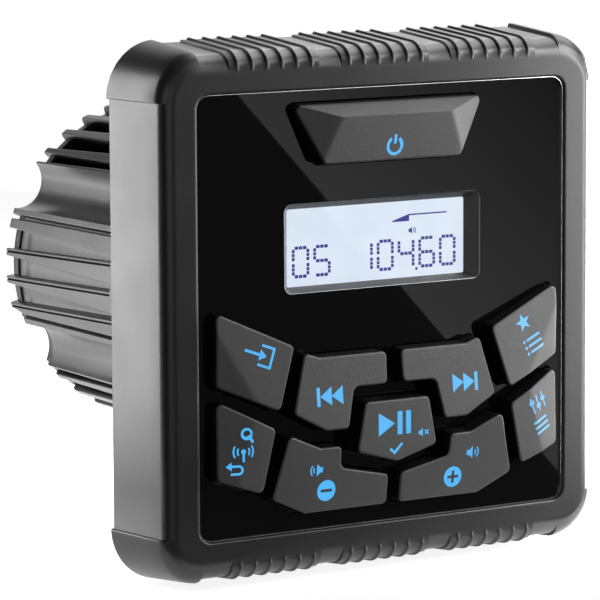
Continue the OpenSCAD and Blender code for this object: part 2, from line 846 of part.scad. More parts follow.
// Grommet with a lip on each side of the cover and a blind wiring bore
module gland(bore) {
    neck = bore + gland_wall;
    lip = neck + gland_lip;
    inner = seat_y - gland_flange;
    outer = cover_back + gland_proud;
    floor_y = inner + gland_floor;
    rotate([-90, 0, 0]) rotate_extrude() polygon([
        [0, inner], [lip, inner], [lip, seat_y], [neck, seat_y], [neck, cover_back],
        [lip, cover_back], [lip - gland_taper, outer], [bore, outer],
        [bore, floor_y], [0, floor_y]]);
}

module harness_gland() {
    color([0.06, 0.06, 0.06]) at(harness_at) gland(harness_bore_r);
}

module accessory_gland() {
    color([0.06, 0.06, 0.06]) at(accessory_at) gland(accessory_bore_r);
}

module antenna_socket() {
    color([0.8, 0.8, 0.82]) at(antenna_at) {
        difference() {
            union() {
                bar(antenna_r, seat_y, cover_back + antenna_proud);
                bar(antenna_r + antenna_lip, seat_y - antenna_flange, seat_y);
            }
            bar(antenna_r - antenna_wall, seat_y + antenna_wall, cover_back + antenna_proud + past);
        }
    }
}

module bracket_inserts() {
    color([0.8, 0.65, 0.3]) at_brackets() difference() {
        bar(insert_r, cover_back - insert_len, cover_back);
        bar(thread_r, cover_back - insert_len + 0.8, cover_back + past);
    }
}

// One line per node
front_bezel();
face_panel();
display_frame();
display_window();
lcd_panel();
lcd_backlight();
lcd_holder();
for (i = [0 : len(KEYS) - 1]) key(i);
for (i = [0 : len(KEYS) - 1]) plunger(i);
keypad_mat();
key_guide();
tact_switches();
control_board();
control_chips();
board_screws();
rear_plate();
plate_screws();
dash_gasket();
barrel_housing();
barrel_seal();
barrel_screws();
amplifier_board();
amplifier_chip();
heat_spreader();
capacitors();
choke();
tuner_can();
link_headers();
ribbon_link();
rear_cover();
rear_seal();
cover_screws();
harness_gland();
accessory_gland();
antenna_socket();
bracket_inserts();
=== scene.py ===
"""Looks of a flush-mount marine stereo, laid out as a Blender add-on and run as a script.

Lengths are in metres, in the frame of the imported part: +Z up, the face looks along -Y, and the
origin lies on the barrel's axis in the plane where the bezel meets the dashboard. Front views are
drawn in millimetres about the middle of the face panel and scaled by MM.
"""

import json

import bmesh
import bpy
import numpy as np
from bpy.props import FloatProperty, FloatVectorProperty, IntProperty, PointerProperty
from mathutils import Matrix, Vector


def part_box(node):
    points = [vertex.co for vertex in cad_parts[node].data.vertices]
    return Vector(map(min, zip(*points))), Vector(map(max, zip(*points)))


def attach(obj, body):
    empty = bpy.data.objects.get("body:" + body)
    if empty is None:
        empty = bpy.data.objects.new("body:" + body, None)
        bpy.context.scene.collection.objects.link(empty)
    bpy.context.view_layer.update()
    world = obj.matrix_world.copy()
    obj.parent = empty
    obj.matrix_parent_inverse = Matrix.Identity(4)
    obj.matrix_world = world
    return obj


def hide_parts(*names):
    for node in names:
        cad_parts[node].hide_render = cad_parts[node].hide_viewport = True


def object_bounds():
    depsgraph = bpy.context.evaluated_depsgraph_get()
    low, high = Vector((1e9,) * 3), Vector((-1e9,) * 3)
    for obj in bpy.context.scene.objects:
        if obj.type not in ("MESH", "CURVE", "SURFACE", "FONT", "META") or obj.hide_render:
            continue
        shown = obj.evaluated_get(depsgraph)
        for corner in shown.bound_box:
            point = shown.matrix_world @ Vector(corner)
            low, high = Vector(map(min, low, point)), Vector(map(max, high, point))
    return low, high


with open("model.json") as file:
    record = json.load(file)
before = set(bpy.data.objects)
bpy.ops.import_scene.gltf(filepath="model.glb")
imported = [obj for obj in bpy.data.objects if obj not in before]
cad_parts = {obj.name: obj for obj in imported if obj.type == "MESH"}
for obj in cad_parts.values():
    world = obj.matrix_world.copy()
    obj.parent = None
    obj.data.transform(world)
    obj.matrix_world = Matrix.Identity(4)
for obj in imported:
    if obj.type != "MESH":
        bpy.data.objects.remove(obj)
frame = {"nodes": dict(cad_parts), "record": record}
CAD_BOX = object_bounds()

bl_info = {
    "name": "Marine stereo",
    "version": (1, 0, 0),
    "blender": (4, 5, 0),
    "location": "View3D > Sidebar > Stereo",
    "description": "Finished surfaces, finishes and studio of a flush-mount marine stereo",
    "category": "Object",
}

MM = 0.001
CHASSIS = "chassis"
FINISH_PREFIX = "finish_"
# Point value that darkens a finish as painted shade: on the sides of the keys, and in the barrel's
# hollows and between its fins.
PAINTED_SHADE_ATTRIBUTE = "wall"
NODE_SLOT = {part["node"]: part["material_slot"] for part in frame["record"]["subparts"]}


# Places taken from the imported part

def low(node):
    """Lowest corner of a CAD node."""
    return np.array(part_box(node)[0])


def high(node):
    """Highest corner of a CAD node."""
    return np.array(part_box(node)[1])


FRONT_Y = low("front_bezel")[1]
PANEL_Y = low("face_panel")[1]
PANEL_BACK = high("face_panel")[1]
PANEL_HALF = high("face_panel")[0]
MIDDLE_Z = (low("face_panel")[2] + high("face_panel")[2]) / 2
LEDGE_BACK = low("keypad_mat")[1]
DISPLAY_BACK = high("display_frame")[1]
DISPLAY_Z = (low("display_frame")[2] + high("display_frame")[2]) / 2 - MIDDLE_Z
LCD_FRONT = low("lcd_panel")[1]
LCD_BACK = high("lcd_panel")[1]
LCD_HALF = (high("lcd_panel") - low("lcd_panel"))[[0, 2]] / 2
BARREL_END = high("barrel_housing")[1]
COLLAR_R = high("barrel_housing")[0]
COVER_R = high("rear_cover")[0]
COVER_BACK = high("rear_cover")[1]


# Sizes of the part that its boxes don't give

PANEL_CORNER = 2.8 * MM
DISPLAY_CORNER = 1.6 * MM
COLLAR_LENGTH = 6 * MM
COVER_RECESS_R = 32.6 * MM
COVER_RECESS_DEPTH = 3.3 * MM
COVER_SEAT = BARREL_END - COVER_RECESS_DEPTH
SCALLOP_ANGLE = 30.0


# Outlines of the right-hand keys from the front, anticlockwise, and their facets. A facet is the
# place of a point, its rise above the panel, and the slopes to the right and upwards.

POWER_CORNERS = np.array([[-16, 28.4], [16, 28.4], [22.6, 40.4], [-22.6, 40.4]])
PRESET_CORNERS = np.array([[26.9, -18.6], [40.3, -12.9], [40.3, 1.9], [22.9, -5.9]])
AUDIO_CORNERS = np.array([[30.3, -34.4], [40.3, -31], [40.3, -15.1], [27.4, -21.6]])
NEXT_CORNERS = np.array([
    [1.6, -15.3], [9.4, -15.3], [11.1, -23.2], [16.6, -23.2],
    [24, -19.3], [20.8, -7.3], [17.2, -8.5], [1.4, -8.5]])
PLAY_CORNERS = np.array([[-9.6, -28], [0, -30.7], [9.6, -28], [7.7, -18], [-7.7, -18]])
VOLUME_CORNERS = np.array([
    [1.2, -39.3], [20.4, -39.3], [28.5, -35.6], [25.3, -22.8],
    [17.6, -26.1], [12.6, -26.1], [12.5, -30.5], [1.2, -32.9]])
POWER_FACETS = np.array([
    [0, 33, 4.24, 0, 0.19], [0, 37.8, 5.1, 0, -1.19],
    [13, 37.8, 5.1, -0.36, 0.044], [-13, 37.8, 5.1, 0.36, 0.044]])
PRESET_FACETS = np.array([[32.5, -9, 3.64, -0.05, -0.087], [36, -10, 3.48, -0.237, 0.023]])
AUDIO_FACETS = np.array([[34.5, -25, 3.9, -0.03, 0.03], [36, -25, 3.46, -0.237, -0.024]])
NEXT_FACETS = np.array([[16, -15.5, 4.08, 0, -0.097]])
PLAY_FACETS = np.array([[0, -24, 4.8, 0, 0]])
VOLUME_FACETS = np.array([[18, -32.5, 3.77, 0, 0.128]])


def flipped(points):
    """Points of a front view or a section, mirrored left to right and in reverse order."""
    return (points * [-1, 1])[::-1]


def other_side(corners, facets):
    """Mirror image of a key, with its outline kept anticlockwise."""
    return flipped(corners), facets * [-1, 1, 1, -1, 1]


KEYS = {
    "power": (POWER_CORNERS, POWER_FACETS),
    "source": other_side(PRESET_CORNERS, PRESET_FACETS),
    "preset": (PRESET_CORNERS, PRESET_FACETS),
    "band": other_side(AUDIO_CORNERS, AUDIO_FACETS),
    "audio": (AUDIO_CORNERS, AUDIO_FACETS),
    "previous": other_side(NEXT_CORNERS, NEXT_FACETS),
    "next": (NEXT_CORNERS, NEXT_FACETS),
    "play": (PLAY_CORNERS, PLAY_FACETS),
    "volume_down": other_side(VOLUME_CORNERS, VOLUME_FACETS),
    "volume_up": (VOLUME_CORNERS, VOLUME_FACETS),
}


# Settings that a user would change

def length(name, description, millimetres):
    """Length property, with its default in millimetres."""
    return FloatProperty(name=name, description=description, default=millimetres * MM,
                         min=0.0, unit="LENGTH", precision=5)


def colour(name, description, red, green, blue):
    """Colour property in linear light."""
    return FloatVectorProperty(name=name, description=description, subtype="COLOR", size=3,
                               min=0.0, max=1.0, default=(red, green, blue))


class BezelSettings(bpy.types.PropertyGroup):
    """Sizes of the bezel's rounded edges, corner caps and grip ribs."""

    half: length("Half side", "Half of the square bezel's side where its front edge ends", 50.36)
    corner: length("Corner radius", "Radius of the upright corners", 9)
    edge: length("Edge radius", "Radius of the front edge at the sides", 2.7)
    top_edge: length("Upper edge radius", "Radius of the front edge above and below", 4.0)
    top_rise: length("Upper rise", "Extra half height over the half side, above and below", 0.25)
    lean: FloatProperty(name="Side lean", description="Angle by which the sides lean out to the rear",
                        default=np.radians(5.4), min=0.0, subtype="ANGLE")
    cap_proud: length("Cap height", "Height of a corner cap above the flats", 0.75)
    cap_reach: length("Cap reach", "Length of a corner cap along each side", 8.7)
    rib_pitch: length("Rib pitch", "Distance between neighbouring ribs", 3.35)
    rib_width: length("Rib width", "Width of a round-topped rib", 0.84)
    rib_height: length("Rib height", "Height of a rib above its pad", 0.42)
    pad_width: length("Pad width", "Width of the raised pad under a rib group", 20.4)
    pad_height: length("Pad height", "Height of a pad above the flat", 0.4)
    group_pitch: length("Group pitch", "Distance between neighbouring rib groups", 25.4)
    rib_count: IntProperty(name="Ribs", description="Ribs in one group", default=6, min=1)
    bead_width: length("Bead width", "Width of the fine bead along the panel's edge", 0.2)
    bead_rise: length("Bead rise", "Height of the bead's foot above the panel", 0.3)


class FaceSettings(bpy.types.PropertyGroup):
    """Sizes of the keys and of the display."""

    key_corner: length("Key corner", "Corner radius of a key's outline", 1.3)
    key_edge: length("Key edge", "Radius of a key's top edge", 0.45)
    key_draft: length("Key draft", "Inward lean of a key's sides", 0.2)
    crease: length("Crease", "Softness of the crease between two facets", 0.05)
    display_width: length("Display width", "Width of the display opening", 46.2)
    display_height: length("Display height", "Height of the display opening", 17.6)
    bevel_x: length("Side bevel", "Inward reach of the bevel left and right", 2.4)
    bevel_z: length("Top bevel", "Inward reach of the bevel above and below", 1.4)
    digit_pitch: length("Digit pitch", "Distance between neighbouring digits", 4.95)
    digit_width: length("Digit width", "Width of a digit", 4.0)
    digit_height: length("Digit height", "Height of a digit", 6.2)


class BarrelSettings(bpy.types.PropertyGroup):
    """Sizes of the finned barrel."""

    front_radius: length("Front radius", "Radius over the fins at the dashboard", 35)
    rear_radius: length("Rear radius", "Radius over the fins at the rear end", 33.8)
    bore: length("Bore", "Radius of the barrel's bore", 24)
    deep_floor: length("Deep floor", "Radius at the floor of the deep grooves", 28.4)
    shallow_floor: length("Shallow floor", "Radius at the floor of the side grooves", 32.3)
    groove_front: length("Groove front", "Half width of a groove at its front end", 0.8)
    groove_rear: length("Groove rear", "Half width of a groove at the rear", 2.25)
    deep_start: length("Deep start", "Where the deep grooves start", 16.8)
    shallow_start: length("Shallow start", "Where the side grooves start", 30.8)
    scallop: length("Scallop radius", "Radius of a lengthwise scallop", 5.8)
    scallop_at: length("Scallop place", "Distance of a scallop's middle from the axis", 35.6)
    lower_cut: length("Lower cut", "How much shorter the lower fins are", 4)
    notch_room: length("Notch room", "How much wider the cover's notches are than the scallops", 0.9)
    fin_width: length("Fin width", "Width of a side fin's land above the hollow", 0.26)
    hollow_width: length("Hollow width", "Width of the hollow below a side fin", 0.42)


class FinishSettings(bpy.types.PropertyGroup):
    """Colours of the finishes that show."""

    bezel: colour("Bezel", "Grained black plastic", 0.012, 0.012, 0.0122)
    panel: colour("Panel", "Polished black plastic", 0.002, 0.002, 0.0021)
    keys: colour("Keys", "Grained dark grey plastic", 0.043, 0.043, 0.0435)
    icons: colour("Icons", "Lit symbols", 0.06, 0.44, 0.92)
    lcd: colour("Display", "Lit display", 0.79, 0.87, 0.97)
    digits: colour("Digits", "Dark display segments", 0.045, 0.04, 0.33)
    barrel: colour("Barrel", "Coated casting", 0.14, 0.14, 0.143)


def power(name, description, watts):
    """Power property of a lamp."""
    return FloatProperty(name=name, description=description, default=watts, min=0.0, unit="POWER")


class StageSettings(bpy.types.PropertyGroup):
    """Strengths of the studio's light."""

    left: power("Left light", "Power of the strip softbox behind the left side", 0.48)
    barrel: power("Barrel light", "Power of the softbox on the barrel's left", 0.12)
    right: power("Right light", "Power of the strip softbox on the right", 0.41)
    edge: power("Edge light", "Power of the softbox that the right edge mirrors", 0.42)
    over: power("Overhead light", "Power of the softbox above on the right", 1.3)
    back: power("Back light", "Power of the softbox above and behind on the right", 0.43)
    front: power("Front light", "Power of the softbox above and in front on the right", 0.7)
    fill: power("Fill light", "Power of the front left softbox", 0.42)
    card: FloatProperty(name="Card", description="Brightness of the card that the panel mirrors",
                        default=0.7, min=0.0)
    ambient: FloatProperty(name="Ambient", description="Brightness of the room in front",
                           default=0.065, min=0.0)


# Shells: points, quads between them, and end faces

def loft(rings, loop=False):
    """Closed shell from a stack of rings of equal length: quads join each point to its neighbour in
    the ring and to the same point of the next ring. The end rings are filled, or joined in a loop."""
    count, size = rings.shape[:2]
    index = np.arange(count * size).reshape(count, size)
    first = index if loop else index[:-1]
    second = np.roll(index, -1, axis=0) if loop else index[1:]
    quads = np.stack([first, np.roll(first, -1, 1), np.roll(second, -1, 1), second], axis=-1)
    caps = [] if loop else [index[0][::-1], index[-1]]
    return rings.reshape(-1, 3), quads.reshape(-1, 4), caps


def joined(shells):
    """One shell that holds several, with the indices of each moved past those before it."""
    starts = np.cumsum([0] + [len(points) for points, _, _ in shells[:-1]])
    points = np.vstack([shell[0] for shell in shells])
    quads = np.vstack([shell[1] + start for shell, start in zip(shells, starts)])
    caps = [cap + start for shell, start in zip(shells, starts) for cap in shell[2]]
    return points, quads, caps


def add_piece(name, shell, slot, body=CHASSIS, replaces=(), look=None, sharp=40.0, painted_shade=None):
    """Mesh object from a closed shell, with its faces turned outwards, riding on a CAD body. It has
    the finish of its slot, or of another look. The painted shade is a value for each point that a
    material can read, where it darkens the colour as shade."""
    points, quads, caps = shell
    mesh = bpy.data.meshes.new(name)
    mesh.from_pydata(points.tolist(), [], quads.tolist() + [cap.tolist() for cap in caps])
    work = bmesh.new()
    work.from_mesh(mesh)
    bmesh.ops.recalc_face_normals(work, faces=work.faces)
    work.to_mesh(mesh)
    work.free()
    mesh.polygons.foreach_set("use_smooth", np.ones(len(mesh.polygons), bool))
    mesh.set_sharp_from_angle(angle=np.radians(sharp))
    if painted_shade is not None:
        mesh.attributes.new(PAINTED_SHADE_ATTRIBUTE, "FLOAT", "POINT").data.foreach_set("value", painted_shade)
    mesh.materials.append(finish_of(look or slot))
    piece = bpy.data.objects.new(name, mesh)
    bpy.context.scene.collection.objects.link(piece)
    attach(piece, body)
    if replaces:
        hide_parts(*replaces)


def in_front(xz, y):
    """Points of a front view, drawn about the panel's middle, at depths y."""
    depth = np.broadcast_to(y, xz.shape[:-1])
    return np.stack([xz[..., 0], depth, xz[..., 1] + MIDDLE_Z], axis=-1)


def rounded(corners, radius, steps=6):
    """Closed outline whose corners are arcs. An arc's middle lies on the corner's bisector, at the
    radius over the sine of half the angle, and the arc turns from one tangent point to the other."""
    before = np.roll(corners, 1, axis=0) - corners
    after = np.roll(corners, -1, axis=0) - corners
    before_run = np.linalg.norm(before, axis=1, keepdims=True)
    after_run = np.linalg.norm(after, axis=1, keepdims=True)
    u = before / before_run
    v = after / after_run
    half = np.arccos(np.clip(np.sum(u * v, axis=1, keepdims=True), -1, 1)) / 2
    reach = np.minimum(radius / np.tan(half), 0.45 * np.minimum(before_run, after_run))
    arc_radius = reach * np.tan(half)
    bisector = (u + v) / np.linalg.norm(u + v, axis=1, keepdims=True)
    middle = corners + bisector * arc_radius / np.sin(half)
    start = (corners + u * reach - middle)[:, None]
    end = (corners + v * reach - middle)[:, None]
    turn = (np.pi - 2 * half)[:, None]
    share = np.linspace(0, 1, steps + 1)[None, :, None]
    arcs = start * np.sin((1 - share) * turn) + end * np.sin(share * turn)
    return (middle[:, None] + arcs / np.sin(turn)).reshape(-1, 2)


def evenly(outline, step):
    """Points at equal steps along a closed outline."""
    closed = np.vstack([outline, outline[:1]])
    run = np.r_[0, np.cumsum(np.linalg.norm(np.diff(closed, axis=0), axis=1))]
    at = np.linspace(0, run[-1], int(run[-1] / step), endpoint=False)
    return np.stack([np.interp(at, run, closed[:, axis]) for axis in (0, 1)], axis=1)


def inset(outline, depth):
    """Anticlockwise outline moved inwards along its own normals."""
    along = np.roll(outline, -1, axis=0) - np.roll(outline, 1, axis=0)
    along /= np.linalg.norm(along, axis=1, keepdims=True)
    return outline + depth * np.stack([-along[:, 1], along[:, 0]], axis=1)


def smooth_step(value, start, end):
    """0 before start, 1 after end, and an S-shaped cubic between."""
    share = np.clip((value - start) / (end - start), 0, 1)
    return share * share * (3 - 2 * share)


def rectangle(half_width, half_height, radius, middle_z, steps=8):
    """Anticlockwise outline of a rectangle with round corners."""
    corners = np.array([[-1, -1], [1, -1], [1, 1], [-1, 1]]) * [half_width, half_height]
    return rounded(corners, radius, steps) + [0, middle_z]


def rays(turn):
    """Directions at angles, anticlockwise from the right."""
    return np.stack([np.cos(turn), np.sin(turn)], axis=-1)


def around_axis(reach, y, turn):
    """Points at distances from the barrel's axis, at depths y and angles."""
    x, z = np.moveaxis(rays(turn), -1, 0) * reach
    return np.stack([x, np.broadcast_to(y, turn.shape), z], axis=-1)


# Bezel

def rib_section(sizes):
    """Section across one rib above its pad, as offsets and heights: a small foot on each side and a
    half round on top."""
    radius = sizes.rib_width / 2
    foot_reach, foot_rise = 0.12 * MM, 0.03 * MM
    foot = np.array([[-radius - foot_reach, 0], [-radius - foot_rise, foot_rise]])
    crown = radius * rays(np.radians(np.linspace(172, 8, 11))) + [0, sizes.rib_height - radius]
    return np.vstack([foot, crown, flipped(foot)])


def step_section(height, radius):
    """Section of a step up to a height, with a rounded top edge, as offsets and heights."""
    foot_reach, foot_rise = 0.1 * MM, 0.02 * MM
    edge = radius * rays(np.radians(np.linspace(180, 90, 6))) + [radius, height - radius]
    return np.vstack([[[-foot_reach, 0], [-foot_rise, foot_rise]], edge])


def bezel_runs(sizes):
    """Length of a straight side between two corners, and of that side with one corner."""
    side = 2 * (sizes.half - sizes.corner)
    return side, side + np.pi / 2 * sizes.corner


def bezel_stations(sizes):
    """Places along the bezel's outline, from the middle of the top and clockwise, with the height of
    the skin above the plain outline and a mark for the corner caps."""
    lap = bezel_runs(sizes)[1]
    pad_round, cap_round = 0.12 * MM, 0.3 * MM
    cap_edge = sizes.half - sizes.cap_reach
    rib = rib_section(sizes)
    rib_places = (np.arange(sizes.rib_count) - (sizes.rib_count - 1) / 2) * sizes.rib_pitch
    ribs = [rib + [place, sizes.pad_height] for place in rib_places]
    pad_start = step_section(sizes.pad_height, pad_round) - [sizes.pad_width / 2, 0]
    group = np.vstack([pad_start] + ribs + [flipped(pad_start)])
    grip = np.vstack([group + [place * sizes.group_pitch, 0] for place in (-1, 0, 1)])
    plain = np.stack([np.linspace(-0.8, 0.8, 5) * cap_edge, np.zeros(5)], axis=1)
    cap_start = step_section(sizes.cap_proud, cap_round) + [cap_edge, 0]
    cap_middle = np.linspace(cap_start[-1, 0], lap - cap_start[-1, 0], 18)[1:-1]
    cap_top = np.stack([cap_middle, np.full(cap_middle.shape, sizes.cap_proud)], axis=1)
    cap = np.vstack([cap_start, cap_top, flipped(cap_start) + [lap, 0]])
    parts = []
    for quarter, flat in enumerate((grip, plain, grip, plain)):
        for section, mark in ((flat, 0), (cap, 1)):
            parts.append(np.c_[section + [quarter * lap, 0], np.full(len(section), mark)])
    return np.vstack(parts)


def bezel_shell(sizes):
    """Ring round the face: a profile carried along a square with round corners. The square of a
    half side h and corner radius r runs straight for h - r each way and then turns by the radius.
    The front edge is an arc about a middle line, with its own radius above and below. Ribs add their
    height to that radius and fade out near the front, a cap is the same arc moved out and back, and
    the side leans out along the arc's last tangent."""
    side, lap = bezel_runs(sizes)
    place, height, mark = bezel_stations(sizes).T
    local = np.mod(place + side / 2, lap)
    quarter = np.floor((place + side / 2) / lap).astype(int) % 4
    share = np.clip(2 * local / side - 1, -1, 1)
    turn = np.clip(local - side, 0, None) / sizes.corner
    corner_share = smooth_step(turn, 0, np.pi / 2)
    upright = np.where(quarter % 2 == 0, 1 - corner_share, corner_share)
    outer_half = sizes.half + upright * sizes.top_rise
    edge = sizes.edge + upright * (sizes.top_edge - sizes.edge)
    fade_start, fade_end = np.radians((54, 82))
    cap_set_back = 0.37 * height

    def ring(half, radius, y):
        """Square with round corners at a depth."""
        along = share * (half - radius) + radius * np.sin(turn)
        out = half - radius + radius * np.cos(turn)
        x = np.choose(quarter, [along, out, -along, -out])
        z = np.choose(quarter, [out, -along, -out, along])
        return in_front(np.stack([x, z], axis=-1), y)

    def outer_ring(out, y):
        """Ring at a distance out from the front edge's middle line."""
        return ring(outer_half - edge + out, sizes.corner - edge + out, y)

    def edge_place(angle):
        """Distance out and depth of the front edge at an angle from the side."""
        cosine, sine = np.cos(angle), np.sin(angle)
        swing = (angle - sizes.lean) / (1 - 2 * sizes.lean / np.pi)
        rib = edge + height * (1 - smooth_step(swing, fade_start, fade_end))
        bulge = np.sqrt(np.maximum(edge ** 2 - (height * sine + cap_set_back * cosine) ** 2, 0))
        cap = np.maximum(height * cosine - cap_set_back * sine + bulge, edge)
        reach = np.where(mark > 0, cap, rib)
        return reach * cosine, FRONT_Y + edge - reach * sine

    opening = PANEL_HALF + 0.1 * MM
    lip = 0.3 * MM
    wall = 2.5 * MM
    ledge = PANEL_HALF - 1.4 * MM
    back_edge = 0.25 * MM
    rows = [ring(opening, PANEL_CORNER, PANEL_BACK), ring(opening, PANEL_CORNER, FRONT_Y + lip)]
    for angle in np.radians((30, 60)):
        away = lip * (1 - np.cos(angle))
        rows.append(ring(opening + away, PANEL_CORNER + away, FRONT_Y + lip * (1 - np.sin(angle))))
    rows += [ring(opening + away, PANEL_CORNER + away, FRONT_Y) for away in (lip, 2 * lip)]
    rows.append(ring(outer_half - edge - lip, sizes.corner - edge - lip, FRONT_Y))
    rows += [outer_ring(*edge_place(angle)) for angle in np.linspace(np.pi / 2, sizes.lean, 18)]
    out, start = edge_place(sizes.lean)
    run = -back_edge - start
    rise = np.tan(sizes.lean) * run
    rows += [outer_ring(out + part * rise, start + part * run) for part in np.linspace(0, 1, 5)[1:]]
    rows.append(outer_ring(out + rise - back_edge, 0))
    rows += [ring(sizes.half - wall, sizes.corner - wall, y) for y in (0, LEDGE_BACK)]
    rows += [ring(ledge, PANEL_CORNER, y) for y in (LEDGE_BACK, PANEL_BACK)]
    return loft(np.array(rows), loop=True)


def bead_shell(sizes):
    """Fine bead along the panel's edge: a quarter round that faces outwards and starts a little below
    its middle, with an upright inner wall, carried along a square with round corners."""
    foot = PANEL_Y + 0.05 * MM
    turns = np.radians(np.linspace(-20, 90, 10))
    aways = sizes.bead_width * np.r_[1 - np.cos(turns), 1.02]
    places = np.r_[PANEL_Y - sizes.bead_rise - sizes.bead_width * np.sin(turns), foot]
    places[0] = foot
    rows = [in_front(rectangle(PANEL_HALF - away, PANEL_HALF - away, PANEL_CORNER - away, 0, 12), place)
            for away, place in zip(aways, places)]
    return loft(np.array(rows), loop=True)


# Keys

def key_rise(facets, xz, crease):
    """Height of a key's top above the panel: the lowest of its facet planes, blended softly by
    minus the crease times the logarithm of the sum of exp(-plane / crease)."""
    place = facets[:, :2] * MM
    offset = xz[..., None, :] - place
    planes = facets[:, 2] * MM + np.sum(offset * facets[:, 3:], axis=-1)
    return -crease * np.log(np.sum(np.exp(-planes / crease), axis=-1))


def key_shell(corners, facets, sizes):
    """Body of a key: its rounded outline rises from behind the panel, leans in by the draft, rolls
    over a quarter-round edge and follows the facets. A key with creases has rings all the way to
    its middle; a key with one flat top is closed by a single face. Also gives each point's share of
    wall, which falls from 1 to 0 over the edge and sets the painted shade on the key's sides."""
    spacing = 0.22 * MM
    foot = PANEL_BACK + 1.1 * MM
    beyond_edge = 0.12 * MM
    outline = evenly(rounded(corners * MM, sizes.key_corner), spacing)
    rows = [in_front(outline, foot), in_front(outline, PANEL_Y)]

    def top_ring(ring, drop):
        """Ring on the key's facets, or a drop below them."""
        return in_front(ring, PANEL_Y - key_rise(facets, ring, sizes.crease) + drop)

    turns = np.radians(np.linspace(0, 90, 8))
    for angle in turns:
        ring = inset(outline, sizes.key_draft + sizes.key_edge * (1 - np.cos(angle)))
        rows.append(top_ring(ring, sizes.key_edge * (1 - np.sin(angle))))
    top = inset(outline, sizes.key_draft + sizes.key_edge + beyond_edge)
    middle = top.mean(axis=0)
    shares = np.linspace(1, 0.02, 40) if len(facets) > 1 else [1.0]
    rows += [top_ring(middle + share * (top - middle), 0) for share in shares]
    wall = np.r_[1, 1, smooth_step(np.cos(turns), 0.75, 1.0), np.zeros(len(shares))]
    return loft(np.array(rows)), np.repeat(wall, len(outline))


# Lit symbols on the keys, drawn in millimetres about the panel's middle

def bar(start, end, width):
    """Straight stroke from one point to another."""
    start, end = np.array(start, float), np.array(end, float)
    along = (end - start) / np.linalg.norm(end - start)
    side = np.array([-along[1], along[0]]) * width / 2
    return np.array([start - side, end - side, end + side, start + side])


def disc(middle, radius, points=40):
    """Full circle."""
    return np.array(middle) + radius * rays(np.linspace(0, 2 * np.pi, points, endpoint=False))


def bow(middle, radius, width, start, end, points=28):
    """Part of a ring between two angles in degrees, with blunt ends."""
    arc = rays(np.radians(np.linspace(start, end, points)))
    return np.array(middle) + np.vstack([arc * (radius + width / 2), (arc * (radius - width / 2))[::-1]])


def turned(shapes, middle, degrees):
    """Shapes turned about a point."""
    angle = np.radians(degrees)
    turn = np.array([[np.cos(angle), np.sin(angle)], [-np.sin(angle), np.cos(angle)]])
    return [(shape - middle) @ turn + middle for shape in shapes]


def mirrored(shapes):
    """Shapes mirrored left to right."""
    return [flipped(shape) for shape in shapes]


def placed(shapes, x, z):
    """Shapes moved to a place."""
    return [shape + [x, z] for shape in shapes]


def speaker(x, z, size):
    """Loudspeaker with two sound waves."""
    magnet = np.array([[-0.95, -0.36], [-0.4, -0.36], [-0.4, 0.36], [-0.95, 0.36]])
    cone = np.array([[-0.6, -0.3], [0, -0.85], [0, 0.85], [-0.6, 0.3]])
    waves = [bow((0, 0), radius, 0.2, -45, 45) for radius in (0.5, 0.95)]
    return placed([size * shape for shape in [magnet, cone] + waves], x, z)


def power_symbol(x, z, radius, width):
    """Open ring with an upright stroke."""
    return [bow((x, z), radius, width, 122, 418, 60),
            bar((x, z + 0.25 * radius), (x, z + 1.35 * radius), width)]


def skip_symbol(x, z):
    """Two triangles and an upright bar."""
    tall = 1.85
    arrows = [np.array([[left, -tall], [left + 2.6, 0], [left, tall]]) for left in (-3.1, -0.5)]
    return placed(arrows + [bar((2.55, -tall), (2.55, tall), 0.75)], x, z)


def play_symbol(x, z):
    """Triangle and two upright bars."""
    tall = 2.3
    arrow = np.array([[-3.9, -tall], [-0.1, 0], [-3.9, tall]])
    return placed([arrow] + [bar((at, -tall), (at, tall), 1.15) for at in (1.1, 3.1)], x, z)


def mute_symbol(x, z):
    """Small loudspeaker beside a cross."""
    cross = [bar((0.5, -tall), (1.4, tall), 0.25) for tall in (0.45, -0.45)]
    return speaker(x, z, 1.0)[:2] + placed(cross, x, z)


def tick_symbol(x, z):
    """Tick mark from two strokes."""
    return placed([bar((-1.4, 0.25), (-0.25, -0.8), 0.5), bar((-0.55, -0.8), (1.45, 1.15), 0.5)], x, z)


def input_symbol(x, z):
    """Arrow that goes into an open box."""
    box = [bar((0.2, 1.9), (3.0, 1.9), 0.5), bar((3.0, 2.15), (3.0, -2.15), 0.5),
           bar((0.2, -1.9), (3.0, -1.9), 0.5)]
    arrow = [bar((-3.2, 0), (0.4, 0), 0.56), np.array([[0.2, -1.1], [1.8, 0], [0.2, 1.1]])]
    return placed(box + arrow, x, z)


def star_symbol(x, z, size):
    """Five-pointed star from five kites."""
    turn = np.radians([0, -36, 0, 36])
    kite = np.array([0, 0.42, 1, 0.42])[:, None] * np.stack([-np.sin(turn), np.cos(turn)], axis=1) * size
    return placed([ray for step in range(5) for ray in turned([kite], [0, 0], 72 * step)], x, z)


def list_symbol(x, z):
    """Three rows, each a dot and a bar."""
    rows = (1.3, 0.0, -1.3)
    dots = [disc((-2.0, row), 0.32, 20) for row in rows]
    return placed(dots + [bar((-1.3, row), (2.3, row), 0.5) for row in rows], x, z)


def slider_symbol(x, z):
    """Three upright faders with their knobs at different heights."""
    knob_heights = {-1.6: 0.7, 0: -0.6, 1.6: 0.2}
    faders = [bar((at, -1.7), (at, 1.7), 0.36) for at in knob_heights]
    knobs = [bar((at - 0.6, knob), (at + 0.6, knob), 0.75) for at, knob in knob_heights.items()]
    return placed(faders + knobs, x, z)


def menu_symbol(x, z):
    """Three stacked bars."""
    return placed([bar((-1.9, row), (1.9, row), 0.5) for row in (1.15, 0, -1.15)], x, z)


def lens_symbol(x, z):
    """Magnifying glass."""
    return placed([bow((0, 0.4), 0.95, 0.48, 0, 356, 40), bar((0.6, -0.3), (1.3, -1.3), 0.55)], x, z)


